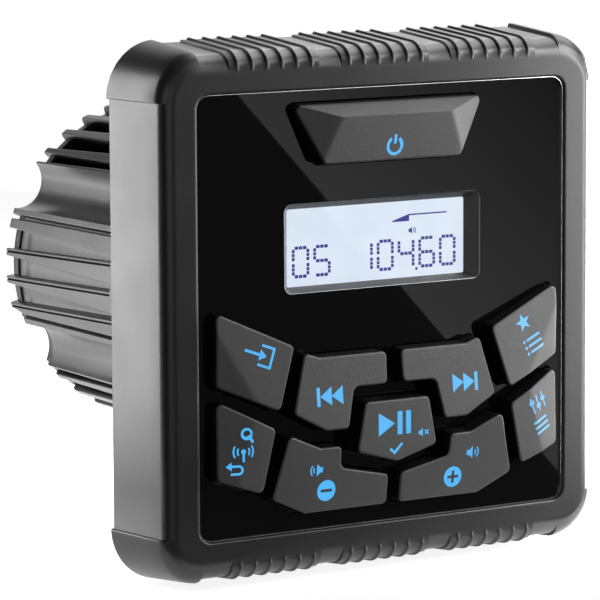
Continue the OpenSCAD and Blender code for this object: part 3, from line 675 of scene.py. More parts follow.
def wave_symbol(x, z):
    """Mast with radio waves on both sides."""
    mast = [bar((0, -1.5), (0, 0.3), 0.45), disc((0, 0.5), 0.5, 24)]
    waves = [bow((0, 0.5), radius, 0.34, middle - 34, middle + 34)
             for radius in (1.2, 2.0) for middle in (0, 180)]
    return placed(mast + waves, x, z)


def return_symbol(x, z):
    """Arrow that turns back."""
    head = np.array([[-1.9, 0.75], [-0.7, -0.1], [-0.7, 1.6]])
    hook = [bar((-0.75, 0.75), (0.75, 0.75), 0.46), bow((0.7, 0), 0.75, 0.46, -90, 90),
            bar((-0.9, -0.75), (0.75, -0.75), 0.46)]
    return placed([head] + hook, x, z)


ICONS = {
    "power": power_symbol(0, 31.5, 1.62, 0.62),
    "source": turned(input_symbol(-31.2, -6.9), [-31.2, -6.9], -20),
    "preset": turned(star_symbol(32.2, -5.4, 1.9) + list_symbol(32.6, -10.4), [32.4, -8.0], 24),
    "band": lens_symbol(-34.2, -22.4) + wave_symbol(-34.9, -25.9) + return_symbol(-36.6, -28.9),
    "audio": turned(slider_symbol(35.6, -22.2) + menu_symbol(34.8, -26.9), [35.0, -24.4], 24),
    "previous": mirrored(skip_symbol(15.5, -16.3)),
    "next": skip_symbol(16.6, -16.3),
    "play": play_symbol(-0.6, -22.9) + mute_symbol(5.9, -25.3) + tick_symbol(-0.4, -28.1),
    "volume_down": mirrored(speaker(18.4, -30.6, 1.45)) + [disc((-15.9, -34.9), 2.1)],
    "volume_up": speaker(18.4, -30.6, 1.45) + [disc((14.0, -35.2), 2.1)],
}
SIGNS = {
    "volume_down": [bar((-17.2, -34.9), (-14.6, -34.9), 0.6)],
    "volume_up": [bar((12.7, -35.2), (15.3, -35.2), 0.6), bar((14.0, -36.5), (14.0, -33.9), 0.6)],
}

# How far the plates of symbols and signs reach below and above a key's top
ICON_DEPTHS = (0.15 * MM, 0.03 * MM)
SIGN_DEPTHS = (0.1 * MM, 0.05 * MM)


def inlay(shapes, facets, crease, depths):
    """Thin plates on a key's top. Each outline, in even steps, is cut into two halves, chords join the
    halves point by point, and points along each chord lie below and above the key's surface."""
    spacing = 0.16 * MM
    sunk, proud = depths
    across = np.linspace(0, 1, 5)[None, :, None]
    shells = []
    for shape in shapes:
        outline = evenly(shape * MM, spacing)
        count = len(outline) // 2
        first, second = outline[:count, None], outline[::-1][:count, None]
        chords = first + across * (second - first)
        surface = PANEL_Y - key_rise(facets, chords, crease)
        top = in_front(chords, surface - proud)
        bottom = in_front(chords, surface + sunk)
        shells.append(loft(np.concatenate([top, bottom[:, ::-1]], axis=1)))
    return joined(shells)


# Display, with its marks drawn in millimetres about the panel's middle

SEGMENT_ENDS = {
    "a": ((-1, 1), (1, 1)), "b": ((1, 1), (1, 0)), "c": ((1, 0), (1, -1)), "d": ((-1, -1), (1, -1)),
    "e": ((-1, 0), (-1, -1)), "f": ((-1, 1), (-1, 0)), "g": ((-1, 0), (1, 0))}
DIGIT_SEGMENTS = {
    "0": "abcdef", "1": "bc", "2": "abged", "3": "abgcd", "4": "fgbc", "5": "afgcd",
    "6": "afgedc", "7": "abc", "8": "abcdefg", "9": "abcdfg"}
SHOWN = "05 10460"
DIGITS_MIDDLE = np.array([0.45, 9.1])
DIGIT_STROKE = 0.62
DIGIT_DASHES = ((0.1, 0.34), (0.39, 0.61), (0.66, 0.9))
POINT_Z = 5.9
POINT_R = 0.3


def digit_strokes(sizes):
    """Dashes of the digits, and a point between two of them: each segment is three short bars in a
    row."""
    pitch = sizes.digit_pitch / MM
    scale = (np.array([sizes.digit_width, sizes.digit_height]) / MM - DIGIT_STROKE) / 2
    strokes = []
    for place, digit in enumerate(SHOWN):
        middle = DIGITS_MIDDLE + [(place - (len(SHOWN) - 1) / 2) * pitch, 0]
        for segment in DIGIT_SEGMENTS.get(digit, ""):
            start, end = (middle + scale * np.array(point) for point in SEGMENT_ENDS[segment])
            run = end - start
            strokes += [bar(start + first * run, start + last * run, DIGIT_STROKE)
                        for first, last in DIGIT_DASHES]
    return strokes + [disc((DIGITS_MIDDLE[0] + 2 * pitch, POINT_Z), POINT_R, 12)]


def level_strokes():
    """Level wedge with its line, and a small loudspeaker below it."""
    wedge = np.array([[4.6, 15.5], [8.6, 15.5], [8.6, 16.9], [4.6, 15.7]])
    return [wedge, bar((8.6, 16.75), (17.6, 16.75), 0.28)] + speaker(9.3, 13.6, 0.85)


def flat_plates(shapes, front, back):
    """Flat plates from outlines between two depths."""
    return joined([loft(np.array([in_front(shape * MM, y) for y in (back, front)])) for shape in shapes])


def display_opening(sizes):
    """Half width and half height of the surround's mouth at the panel."""
    rim = 0.06 * MM
    return sizes.display_width / 2 - rim, sizes.display_height / 2 - rim


def rim_shell(sizes):
    """Thin rim that fills the corners of the panel's opening: a rectangle outside, and inside it one
    with round corners."""
    overlap, outer_corner = 0.07 * MM, 0.1 * MM
    back = PANEL_Y + 0.8 * MM
    outer = (sizes.display_width / 2 + overlap, sizes.display_height / 2 + overlap, outer_corner)
    inner = (*display_opening(sizes), DISPLAY_CORNER)
    profile = [(outer, back), (outer, PANEL_Y), (inner, PANEL_Y), (inner, back)]
    rows = [in_front(rectangle(*shape, DISPLAY_Z), y) for shape, y in profile]
    return loft(np.array(rows), loop=True)


def display_shell(sizes):
    """Bevelled surround of the display: rectangles with round corners from its back over a soft lip
    and down the bevel to the glass, whose opening is a little to the right and below."""
    open_w, open_h = display_opening(sizes)
    aside, below = 0.2 * MM, 0.24 * MM
    mouth_w, mouth_h = open_w - sizes.bevel_x + aside, open_h - sizes.bevel_z + below
    foot_w, foot_h, foot_rise = mouth_w + 0.1 * MM, mouth_h + 0.06 * MM, 0.16 * MM
    mouth_corner, foot_corner = 0.4 * MM, 0.45 * MM
    lip = np.array([[0, 0], [0.1, 0.03], [0.19, 0.1], [0.27, 0.21]]) * MM
    profile = [(open_w, open_h, DISPLAY_CORNER, DISPLAY_BACK, 0)]
    profile += [(open_w - reach, open_h - 0.6 * reach, DISPLAY_CORNER - reach, PANEL_Y + deep, 0)
                for reach, deep in lip]
    profile += [(foot_w, foot_h, foot_corner, DISPLAY_BACK - foot_rise, 1),
                (mouth_w, mouth_h, mouth_corner, DISPLAY_BACK, 1)]
    rows = [in_front(rectangle(w, h, r, DISPLAY_Z) + moved * np.array([aside, -below]), y)
            for w, h, r, y, moved in profile]
    return loft(np.array(rows), loop=True)


# Barrel: in half a groove, the first columns end with the fin and the others at the cover's seat

FIN_COLUMNS = 9
SEAT_COLUMNS = 4
SCALLOP_COLUMNS = 25
NARROWED = {"narrow": 0.55, "slit": 0.22}


def barrel_features():
    """Features round the barrel, from the right and anticlockwise: grooves and scallops with the
    angle of their middle, in degrees."""
    side = [(-18.0, "slit"), (-10.0, "shallow"), (0.0, "shallow"), (10.0, "shallow"), (18.0, "slit")]
    fins = [(90.0 + 10.0 * step, "deep") for step in range(-4, 5)]
    upper = side + [(SCALLOP_ANGLE, "scallop"), (42.0, "narrow")] + fins
    upper += [(138.0, "narrow"), (180.0 - SCALLOP_ANGLE, "scallop")]
    return upper + [(angle + 180.0, kind) for angle, kind in upper]


def barrel_skin(y, sizes):
    """Radius over the fins, which falls evenly from the dashboard to the rear end."""
    return sizes.front_radius + (sizes.rear_radius - sizes.front_radius) * y / BARREL_END


def groove_columns(kind, middle, y, sizes):
    """Columns across a groove: rounded lips, a wall with a knee where the rear cover's recess starts,
    and a flat floor. The offset to the side grows with y from the front width to the rear width, and
    the depth starts with a short ramp. A narrow hollow runs below the fin under each side groove.
    Gives angles, radii and the share of shade, which is 1 in that hollow and deep between two fins."""
    lip, toe, knee = 0.22 * MM, 0.2 * MM, 0.06 * MM
    least_half = 0.42 * MM
    no_hollow, no_land = 0.02 * MM, 0.01 * MM
    hollow_depth, hollow_middle = 0.6 * sizes.hollow_width, [2, -3]
    ramp_before, ramp_after = 0.2 * MM, 0.5 * MM
    draft = (0.5 if kind == "deep" else 0.15) * MM
    floor_step, step_start, step_end = 0.3 * MM, COVER_SEAT - 2.7 * MM, COVER_SEAT - 2.5 * MM
    start = sizes.shallow_start if kind == "shallow" else sizes.deep_start
    floor = sizes.shallow_floor if kind in {"shallow", "slit"} else sizes.deep_floor
    if kind == "shallow":
        floor = floor - floor_step * smooth_step(y, step_start, step_end)
    skin = barrel_skin(y, sizes)
    share = np.clip((y - start) / (BARREL_END + MM - start), 0, 1)
    half = sizes.groove_front + share * (sizes.groove_rear - sizes.groove_front)
    half = np.maximum(half * NARROWED.get(kind, 1.0), least_half)
    depth = smooth_step(y, start - ramp_before, start + ramp_after)
    recess = skin - COVER_RECESS_R
    drop = np.stack(np.broadcast_arrays(
        0 * y, 0, 0, 0, 0, 0, 0.3 * lip, lip, recess, recess + knee,
        skin - floor - toe, skin - floor - 0.3 * toe, skin - floor), axis=-1)
    lean = draft * drop / (skin - floor)[..., None]
    below = np.cos(np.radians(middle)) * np.array([1, -1]) * (kind == "shallow") > 0.5
    line = np.where(below, sizes.hollow_width, no_hollow)[:, None]
    land = np.where(below, sizes.fin_width, no_land)[:, None]
    across = lip + land + line * np.array([1.1, 1.0, 0.5, 0.0, -0.1])
    out = np.array([lip, 0.3 * lip, 0, 0, 0, 0, -0.3 * toe, -toe])
    first, second = (half[..., None] + np.r_[beyond, out] - lean for beyond in across)
    offset = np.concatenate([-first, second[..., ::-1]], axis=-1)
    # Painted shade: the hollow under each side fin and the gap between two deep fins darken the barrel's
    # colour and gloss.
    hollow = np.r_[0, 1, 1, 1, np.zeros(9)]
    gap = np.r_[np.zeros(6), 0.2, 0.6, np.ones(5)] * (kind in {"deep", "narrow"})
    shade = depth[..., None] * np.r_[hollow * below[0] + gap, (hollow * below[1] + gap)[::-1]]
    fall = depth[..., None] * np.concatenate([drop, drop[..., ::-1]], axis=-1)
    fall[..., hollow_middle] += hollow_depth * shade[..., hollow_middle]
    reach = np.sqrt(skin[..., None] ** 2 - offset ** 2) - fall
    return np.radians(middle) + np.arctan2(offset, reach), np.hypot(offset, reach), shade


def scallop_columns(middle, y, sizes):
    """Columns across a scallop: an arc of a circle whose middle lies outside the barrel, between the
    two angles where the circle meets the skin. Gives angles, radii and no shade."""
    skin = barrel_skin(y, sizes)
    radius, at = sizes.scallop, sizes.scallop_at
    edge = np.arccos((at ** 2 + radius ** 2 - skin ** 2) / (2 * at * radius))
    sweep = edge[..., None] * np.linspace(-1, 1, SCALLOP_COLUMNS)
    offset = radius * np.sin(sweep)
    reach = at - radius * np.cos(sweep)
    return np.radians(middle) + np.arctan2(offset, reach), np.hypot(offset, reach), 0 * offset


def column_ends(kind, middle, sizes):
    """End of each column of a feature along the axis. The lower fins are shorter."""
    lower_side = -10 * MM
    lower = np.sin(np.radians(middle)) * sizes.rear_radius < lower_side
    fin_end = BARREL_END - (sizes.lower_cut if lower else 0)
    if kind == "scallop":
        return np.full(SCALLOP_COLUMNS, fin_end)
    half = np.repeat([fin_end, COVER_SEAT], [FIN_COLUMNS, SEAT_COLUMNS])
    return np.r_[half, half[::-1]]


def barrel_shell(sizes):
    """Finned barrel: columns round the axis follow the grooves and scallops as they widen, and rows
    run from the collar to the rear, over the ends of the fins into the cover's recess and back
    through the bore. The last rows of each column stretch to that column's own end, and the fins end
    in a part of a quarter round. Also gives each point's share of shade."""
    hub = COVER_SEAT - 8 * MM
    edge, hair = 0.4 * MM, 0.02 * MM
    tip, tip_share = 0.9 * MM, 0.8
    ramp = np.array([-0.3, -0.15, 0, 0.15, 0.3, 0.5]) * MM
    shared = np.r_[COLLAR_LENGTH + hair, COLLAR_LENGTH + edge, 10 * MM, sizes.deep_start + ramp,
                   np.linspace(sizes.deep_start, sizes.shallow_start, 5)[1:-1],
                   sizes.shallow_start + ramp, np.linspace(sizes.shallow_start, hub, 7)[1:-1]]
    shares = np.r_[0, 0.25, 0.5, 0.62, 0.66, 0.675, 0.69, 0.72, 0.85, 0.93, 0.95, 0.97, 0.985, 0.995, 1.0]
    parts = []
    for middle, kind in barrel_features():
        ends = column_ends(kind, middle, sizes)
        y = np.vstack([np.tile(shared[:, None], (1, len(ends))), hub + shares[:, None] * (ends - hub)])
        section = y.mean(axis=1)
        if kind == "scallop":
            columns = scallop_columns(middle, section, sizes)
        else:
            columns = groove_columns(kind, middle, section, sizes)
        parts.append((*columns, y))
    angle, radius, shade, y = (np.hstack(part) for part in zip(*parts))
    end = y[-1]
    past = np.clip(y - (end - tip), 0, tip)
    radius = radius - tip_share * np.where(end != COVER_SEAT, tip - np.sqrt(tip ** 2 - past ** 2), 0)
    collar = [(sizes.bore, 0.0), (COLLAR_R - edge, 0.0), (COLLAR_R - 0.3 * edge, 0.3 * edge),
              (COLLAR_R, edge), (COLLAR_R, COLLAR_LENGTH - edge),
              (COLLAR_R - 0.3 * edge, COLLAR_LENGTH - 0.3 * edge), (COLLAR_R - edge, COLLAR_LENGTH)]
    rim = np.minimum(radius[-1] - hair, COVER_RECESS_R)
    seat = COVER_SEAT + hair / 2
    inside = [(rim, end), (rim - hair, seat), (sizes.bore, seat)]
    rows = [around_axis(*place, angle[0]) for place in collar]
    rows += [around_axis(*station) for station in zip(radius, y, angle)]
    rows += [around_axis(*place, angle[-1]) for place in inside]
    shade = np.pad(shade, ((len(collar), len(inside)), (0, 0)))
    return loft(np.array(rows), loop=True), shade.ravel()


# Rear cover

def cover_shell(sizes):
    """Round cover with a notch at each scallop: the outline's radius is the smaller of the disc's and
    the near crossing of the ray with the notch's circle, at a cosine less the root of that circle's
    radius squared less the square of the offset."""
    turn = np.linspace(0, 2 * np.pi, 720, endpoint=False)
    off = np.abs(np.mod(turn + np.pi / 2, np.pi) - np.pi / 2) - np.radians(SCALLOP_ANGLE)
    reach = sizes.scallop + sizes.notch_room
    inside = np.maximum(reach ** 2 - (sizes.scallop_at * np.sin(off)) ** 2, 0)
    notch = sizes.scallop_at * np.cos(off) - np.sqrt(inside)
    radius = np.where(inside > 0, np.minimum(notch, COVER_R), COVER_R)
    edge, gap = 0.4 * MM, 0.02 * MM
    profile = [(0.0, COVER_SEAT + gap), (0.0, COVER_BACK - edge),
               (0.3 * edge, COVER_BACK - 0.3 * edge), (edge, COVER_BACK)]
    return loft(np.array([around_axis(radius - away, y, turn) for away, y in profile]))


# Nodes

WHITE = (1.0, 1.0, 1.0, 1.0)


def set_inputs(node, values):
    """Values of a node's inputs by name."""
    for socket, value in values.items():
        node.inputs[socket].default_value = value


def add_node(tree, kind, values=None, **settings):
    """Shader node of a kind, with its settings and the values of its inputs."""
    node = tree.nodes.new("ShaderNode" + kind)
    for name, value in settings.items():
        setattr(node, name, value)
    set_inputs(node, values or {})
    return node


def link(tree, *wires):
    """Links in a tree, each from a node's output to another node's input."""
    for source, output, target, socket in wires:
        tree.links.new(source.outputs[output], target.inputs[socket])


def new_material(name):
    """Material with nodes, and its tree."""
    material = bpy.data.materials.new(name)
    material.use_nodes = True
    return material, material.node_tree


# Finishes

# Looks with a fixed colour: the colour, the lowest and highest roughness, and what else differs
FIXED_LOOKS = {
    "panel_edge": ((0.5, 0.5, 0.51), (0.14, 0.2), {"metallic": 0.9}),
    "display_trim": ((0.24, 0.24, 0.243), (0.32, 0.4), {"metallic": 0.85}),
    "backlight_white": ((0.9, 0.9, 0.9), (0.5, 0.6), {}),
    "holder_plastic": ((0.85, 0.85, 0.82), (0.45, 0.6), {}),
    "plunger_plastic": ((0.8, 0.45, 0.1), (0.35, 0.5), {}),
    "silicone": ((0.6, 0.6, 0.62), (0.6, 0.7), {}),
    "guide_plastic": ((0.08, 0.08, 0.085), (0.45, 0.6), {}),
    "switch_plastic": ((0.03, 0.03, 0.03), (0.35, 0.5), {}),
    "circuit_board": ((0.02, 0.16, 0.06), (0.3, 0.4), {"blotch": 300.0}),
    "chip_black": ((0.02, 0.02, 0.022), (0.45, 0.6), {}),
    "screw_steel": ((0.6, 0.6, 0.61), (0.25, 0.4), {"metallic": 1.0, "blotch": 900.0}),
    "plate_plastic": ((0.03, 0.03, 0.032), (0.45, 0.55), {"bump": 0.02 * MM}),
    "gasket_rubber": ((0.02, 0.02, 0.02), (0.65, 0.8), {"bump": 0.02 * MM}),
    "bare_aluminium": ((0.7, 0.7, 0.72), (0.3, 0.45), {"metallic": 1.0, "blotch": 500.0}),
    "capacitor_sleeve": ((0.03, 0.05, 0.2), (0.2, 0.3), {}),
    "copper_winding": ((0.5, 0.22, 0.08), (0.25, 0.4), {"metallic": 0.9, "blotch": 1500.0}),
    "tinned_can": ((0.7, 0.7, 0.71), (0.25, 0.4), {"metallic": 1.0, "blotch": 400.0}),
    "header_plastic": ((0.85, 0.82, 0.7), (0.4, 0.5), {}),
    "ribbon_grey": ((0.45, 0.45, 0.47), (0.5, 0.6), {}),
    "cover_coat": ((0.03, 0.03, 0.031), (0.4, 0.5), {"bump": 0.02 * MM}),
    "gland_rubber": ((0.02, 0.02, 0.02), (0.6, 0.75), {"bump": 0.03 * MM}),
    "insert_brass": ((0.75, 0.55, 0.2), (0.25, 0.4), {"metallic": 1.0, "blotch": 900.0}),
}
PANE_TINT = (0.96, 0.97, 1.0)
PANE_IOR = 1.3
UNLIT = (0.02, 0.02, 0.02, 1.0)


def node_group(name, inputs, outputs):
    """Empty shader group with named sockets, and its input and output nodes."""
    group = bpy.data.node_groups.new(name, "ShaderNodeTree")
    for socket, default in inputs.items():
        made = group.interface.new_socket(name=socket, in_out="INPUT", socket_type="NodeSocketFloat")
        made.default_value = default
    for socket in outputs:
        group.interface.new_socket(name=socket, in_out="OUTPUT", socket_type="NodeSocketFloat")
    return group, group.nodes.new("NodeGroupInput"), group.nodes.new("NodeGroupOutput")


def moulded_grain():
    """Shader group of a moulded skin: a fine grain for the bump and slow blotches for tone and gloss."""
    name = "moulded_grain"
    if name in bpy.data.node_groups:
        return bpy.data.node_groups[name]
    group, given, result = node_group(
        name, {"Grain Scale": 5000.0, "Blotch Scale": 90.0}, ("Grain", "Blotch"))
    place = add_node(group, "TexCoord")
    fine = add_node(group, "TexNoise", {"Detail": 2.0, "Roughness": 0.6})
    slow = add_node(group, "TexNoise", {"Detail": 4.0})
    link(group,
         (place, "Object", fine, "Vector"), (place, "Object", slow, "Vector"),
         (given, "Grain Scale", fine, "Scale"), (given, "Blotch Scale", slow, "Scale"),
         (fine, "Fac", result, "Grain"), (slow, "Fac", result, "Blotch"))
    return group


def finish(name, base, rough, metallic=0.0, grain=5000.0, blotch=90.0, bump=0.0, vary=0.12,
           speckle=0.0):
    """Material of a slot: its colour and gloss wander with the blotches, its colour also with a share
    of the grain, and the grain lifts its surface by the bump's height."""
    material, tree = new_material(FINISH_PREFIX + name)
    shader = tree.nodes["Principled BSDF"]
    set_inputs(shader, {"Metallic": metallic})
    skin = add_node(tree, "Group", {"Grain Scale": grain, "Blotch Scale": blotch},
                    node_tree=moulded_grain())
    dark, light = ((*(min(channel * share, 1.0) for channel in base), 1.0)
                   for share in (1 - vary, 1 + vary))
    tone = add_node(tree, "Mix", {"A": dark, "B": light}, data_type="RGBA", name="Tone")
    gloss = add_node(tree, "MapRange", {"From Min": 0.3, "From Max": 0.7, "To Min": rough[0],
                                        "To Max": rough[1]}, name="Gloss")
    spots = add_node(tree, "Mix", {"Factor": speckle})
    link(tree,
         (skin, "Blotch", spots, "A"), (skin, "Grain", spots, "B"), (spots, "Result", tone, "Factor"),
         (skin, "Blotch", gloss, "Value"), (tone, "Result", shader, "Base Color"),
         (gloss, "Result", shader, "Roughness"))
    if bump > 0:
        lift = add_node(tree, "Bump", {"Strength": 1.0, "Distance": bump})
        link(tree, (skin, "Grain", lift, "Height"), (lift, "Normal", shader, "Normal"))
    return material


def lit_finish(name, base, strength, vary):
    """Material that glows, a little unevenly, as a lit plastic does."""
    tree = finish(name, base, (0.35, 0.5), vary=vary, blotch=160.0).node_tree
    shader = tree.nodes["Principled BSDF"]
    link(tree, (tree.nodes["Tone"], "Result", shader, "Emission Color"))
    tree.links.remove(shader.inputs["Base Color"].links[0])
    set_inputs(shader, {"Base Color": UNLIT, "Emission Strength": strength})


def painted_shade_finish(name, base, rough, dark, **grain):
    """Material whose colour and gloss fall to a dark tone on the walls of a piece, as painted shade; on
    the barrel, in its hollows and between its fins.
    """
    tree = finish(name, base, rough, **grain).node_tree
    shader = tree.nodes["Principled BSDF"]
    wall = add_node(tree, "Attribute", attribute_name=PAINTED_SHADE_ATTRIBUTE)
    shade = add_node(tree, "Mix", {"B": (dark, dark, dark, 1.0)}, data_type="RGBA")
    shine = add_node(tree, "MapRange", {"To Min": 0.5, "To Max": 0.1})
    link(tree,
         (wall, "Fac", shade, "Factor"), (tree.nodes["Tone"], "Result", shade, "A"),
         (shade, "Result", shader, "Base Color"), (wall, "Fac", shine, "Value"),
         (shine, "Result", shader, "Specular IOR Level"))


def clear_finish(name):
    """Material of a clear pane: it lets light straight through and mirrors more towards grazing
    angles, and its gloss changes faintly."""
    tree = finish(name, PANE_TINT, (0.0, 0.03), vary=0.01).node_tree
    through = add_node(tree, "BsdfTransparent")
    mirror = add_node(tree, "BsdfGlossy")
    edge = add_node(tree, "Fresnel", {"IOR": PANE_IOR})
    both = add_node(tree, "MixShader")
    link(tree,
         (tree.nodes["Tone"], "Result", through, "Color"),
         (tree.nodes["Gloss"], "Result", mirror, "Roughness"), (edge, "Fac", both, "Fac"),
         (through, "BSDF", both, 1), (mirror, "BSDF", both, 2),
         (both, "Shader", tree.nodes["Material Output"], "Surface"))
    tree.nodes.remove(tree.nodes["Principled BSDF"])


def make_finishes(colours):
    """Materials of all slots and looks."""
    moulded = {"grain": 3600.0, "vary": 0.5, "speckle": 0.8}
    finish("bezel_plastic", colours.bezel, (0.32, 0.36), bump=0.014 * MM, **moulded)
    finish("panel_gloss", colours.panel, (0.01, 0.02), vary=0.05)
    painted_shade_finish("key_plastic", colours.keys, (0.5, 0.58), 0.004, bump=0.04 * MM, **moulded)
    painted_shade_finish("barrel_cast", colours.barrel, (0.3, 0.36), 0.004, metallic=0.8, bump=0.03 * MM,
                  grain=2600.0)
    clear_finish("window_clear")
    lit_finish("lcd_cell", colours.lcd, 1.0, 0.08)
    lit_finish("lcd_digits", colours.digits, 0.8, 0.1)
    lit_finish("icon_light", colours.icons, 1.0, 0.12)
    for name, (base, rough, values) in FIXED_LOOKS.items():
        finish(name, base, rough, **values)


def finish_of(look):
    """Material of a slot or look, made with all the others at its first use."""
    if FINISH_PREFIX + look not in bpy.data.materials:
        make_finishes(bpy.context.scene.stereo_finish)
    return bpy.data.materials[FINISH_PREFIX + look]


# Stage

CAMERA_YAW = 32.645
CAMERA_PITCH = 7.6323
CAMERA_ROLL = 0.2886
CAMERA_SHIFT = np.array([16.7141, 0.8729, 765.0173]) * MM
CAMERA_ORIGIN = np.array([0.0, FRONT_Y + 0.4 * MM, MIDDLE_Z])
FOCAL_PIXELS = 3907.24
IMAGE_PIXELS = 600

# Two points of the face panel, in its own millimetres, on the edge of the mirrored card
CARD_EDGE = np.array([[-30.8, 40.0], [14.6, -8.0]])
CARD_AWAY = 0.5
CARD_SPARE = 0.25
CARD_WIDTH = 0.16
CARD_FADE = 0.09
CARD_END = 0.1

# Direction behind the object on the right, where mirrored and transmitted rays see white
WHITE_SIDE = (0.5, 0.81, 0.31)
FLOOR_COLOUR = (0.7, 0.7, 0.7, 1.0)
FLOOR_GLOW = 0.85
FLOOR_R = 0.4
FLOOR_Y = 0.37
FLOOR_GAP = 0.2 * MM

# Place, target, width and height of each softbox, named as its power in the settings
SOFTBOXES = {
    "left": ((-0.171, 0.139, 0.03), (-0.05, -0.01, 0.03), 0.04, 0.27),
    "barrel": ((-0.175, 0.26, -0.01), (-0.04, 0.03, -0.01), 0.14, 0.22),
    "right": ((0.145, -0.1, 0.03), (0.03, -0.02, -0.01), 0.05, 0.2),
    "edge": ((0.112, 0.002, 0.0), (0.05, -0.016, 0.0), 0.045, 0.1),
    "over": ((0.28, 0.02, 0.36), (0.0, 0.0, 0.0), 0.25, 0.35),
    "back": ((0.22, 0.22, 0.3), (0.0, 0.0, 0.02), 0.2, 0.3),
    "front": ((0.25, -0.27, 0.27), (0.0, 0.0, 0.02), 0.2, 0.3),
    "fill": ((-0.275, -0.5, 0.08), (0.0, 0.0, 0.0), 0.4, 0.4),
}


def unit(vector):
    """Vector, or rows of vectors, of length 1."""
    return vector / np.linalg.norm(vector, axis=-1, keepdims=True)


def add_at(name, data, axes, place):
    """Object of a camera or lamp at a place, with its right, up and backward axes."""
    thing = bpy.data.objects.new(name, data)
    pose = np.eye(4)
    pose[:3, :3] = np.stack(axes, axis=1)
    pose[:3, 3] = place
    thing.matrix_world = Matrix(pose.tolist())
    bpy.context.scene.collection.objects.link(thing)
    return thing


def camera_axes():
    """Right, down and forward directions of the camera, from its yaw, pitch and roll."""
    yaw, pitch, roll = np.radians([CAMERA_YAW, CAMERA_PITCH, CAMERA_ROLL])
    right = np.array([np.cos(yaw), -np.sin(yaw), 0.0])
    ahead = np.array([np.sin(yaw) * np.cos(pitch), np.cos(yaw) * np.cos(pitch), -np.sin(pitch)])
    down = np.cross(ahead, right)
    turned_right = np.cos(roll) * right + np.sin(roll) * down
    turned_down = np.cos(roll) * down - np.sin(roll) * right
    return turned_right, turned_down, ahead


def camera_place():
    """Place of the camera, from the shift of the panel's middle in the camera's own axes."""
    return CAMERA_ORIGIN - CAMERA_SHIFT @ np.array(camera_axes())


def add_camera():
    """Camera at the photograph's angle and distance."""
    right, down, ahead = camera_axes()
    data = bpy.data.cameras.new("photo_camera")
    data.sensor_width = 36.0
    data.lens = FOCAL_PIXELS * data.sensor_width / IMAGE_PIXELS
    data.clip_end = 20.0
    bpy.context.scene.camera = add_at("photo_camera", data, (right, -down, -ahead), camera_place())


def add_softbox(name, place, target, width, height, watts):
    """Rectangular area light that faces a target, with its height upright."""
    data = bpy.data.lights.new(name, "AREA")
    data.shape = "RECTANGLE"
    data.size = width
    data.size_y = height
    data.energy = watts
    back = unit(np.array(place) - np.array(target))
    across = unit(np.cross([0, 0, 1], back))
    add_at(name, data, (across, np.cross(back, across), back), place).visible_camera = False


def mirrored_rays(tree):
    """Light path node, and one that gives 1 for its mirrored and transmitted rays."""
    ray = add_node(tree, "LightPath")
    either = add_node(tree, "Math", operation="MAXIMUM")
    link(tree, (ray, "Is Glossy Ray", either, 0), (ray, "Is Transmission Ray", either, 1))
    return ray, either


def add_world(ambient):
    """Room: dim, but white wherever the camera looks, and white for mirrored and transmitted rays
    behind the object on the right."""
    world = bpy.data.worlds.new("studio")
    bpy.context.scene.world = world
    world.use_nodes = True
    tree = world.node_tree
    sky = tree.nodes["Background"]
    set_inputs(sky, {"Color": WHITE})
    place = add_node(tree, "TexCoord")
    ahead = add_node(tree, "VectorMath", {1: WHITE_SIDE}, operation="DOT_PRODUCT")
    behind = add_node(tree, "MapRange", {"From Min": 0.86, "From Max": 0.95},
                      interpolation_type="SMOOTHSTEP")
    ray, either = mirrored_rays(tree)
    mirrored_white = add_node(tree, "Math", operation="MULTIPLY")
    shown = add_node(tree, "Math", operation="MAXIMUM")
    level = add_node(tree, "MapRange", {"To Min": ambient, "To Max": 1.0})
    link(tree,
         (place, "Generated", ahead, 0), (ahead, "Value", behind, "Value"),
         (either, "Value", mirrored_white, 0), (behind, "Result", mirrored_white, 1),
         (mirrored_white, "Value", shown, 0), (ray, "Is Camera Ray", shown, 1),
         (shown, "Value", level, "Value"), (level, "Result", sky, "Strength"))


def stage_object(name, points, material):
    """Flat object of the stage with one face."""
    mesh = bpy.data.meshes.new(name)
    mesh.from_pydata(points.tolist(), [], [list(range(len(points)))])
    mesh.materials.append(material)
    thing = bpy.data.objects.new(name, mesh)
    bpy.context.scene.collection.objects.link(thing)
    return thing


def add_floor():
    """Pale round floor under the object, which keeps the object's soft shadow and is white to the
    camera and to mirrored and transmitted rays."""
    material, tree = new_material("floor_paper")
    shader = tree.nodes["Principled BSDF"]
    set_inputs(shader, {"Base Color": FLOOR_COLOUR, "Roughness": 1.0, "Specular IOR Level": 0.0,
                        "Emission Color": WHITE})
    ray, either = mirrored_rays(tree)
    shown = add_node(tree, "Math", operation="MAXIMUM")
    glow = add_node(tree, "Math", {1: FLOOR_GLOW}, operation="MULTIPLY")
    link(tree,
         (either, "Value", shown, 0), (ray, "Is Camera Ray", shown, 1), (shown, "Value", glow, 0),
         (glow, "Value", shader, "Emission Strength"))
    turn = np.linspace(0, 2 * np.pi, 96, endpoint=False)
    points = np.stack([FLOOR_R * np.cos(turn), FLOOR_Y + FLOOR_R * np.sin(turn),
                       np.full(turn.shape, CAD_BOX[0][2] - FLOOR_GAP)], axis=1)
    stage_object("floor", points, material)


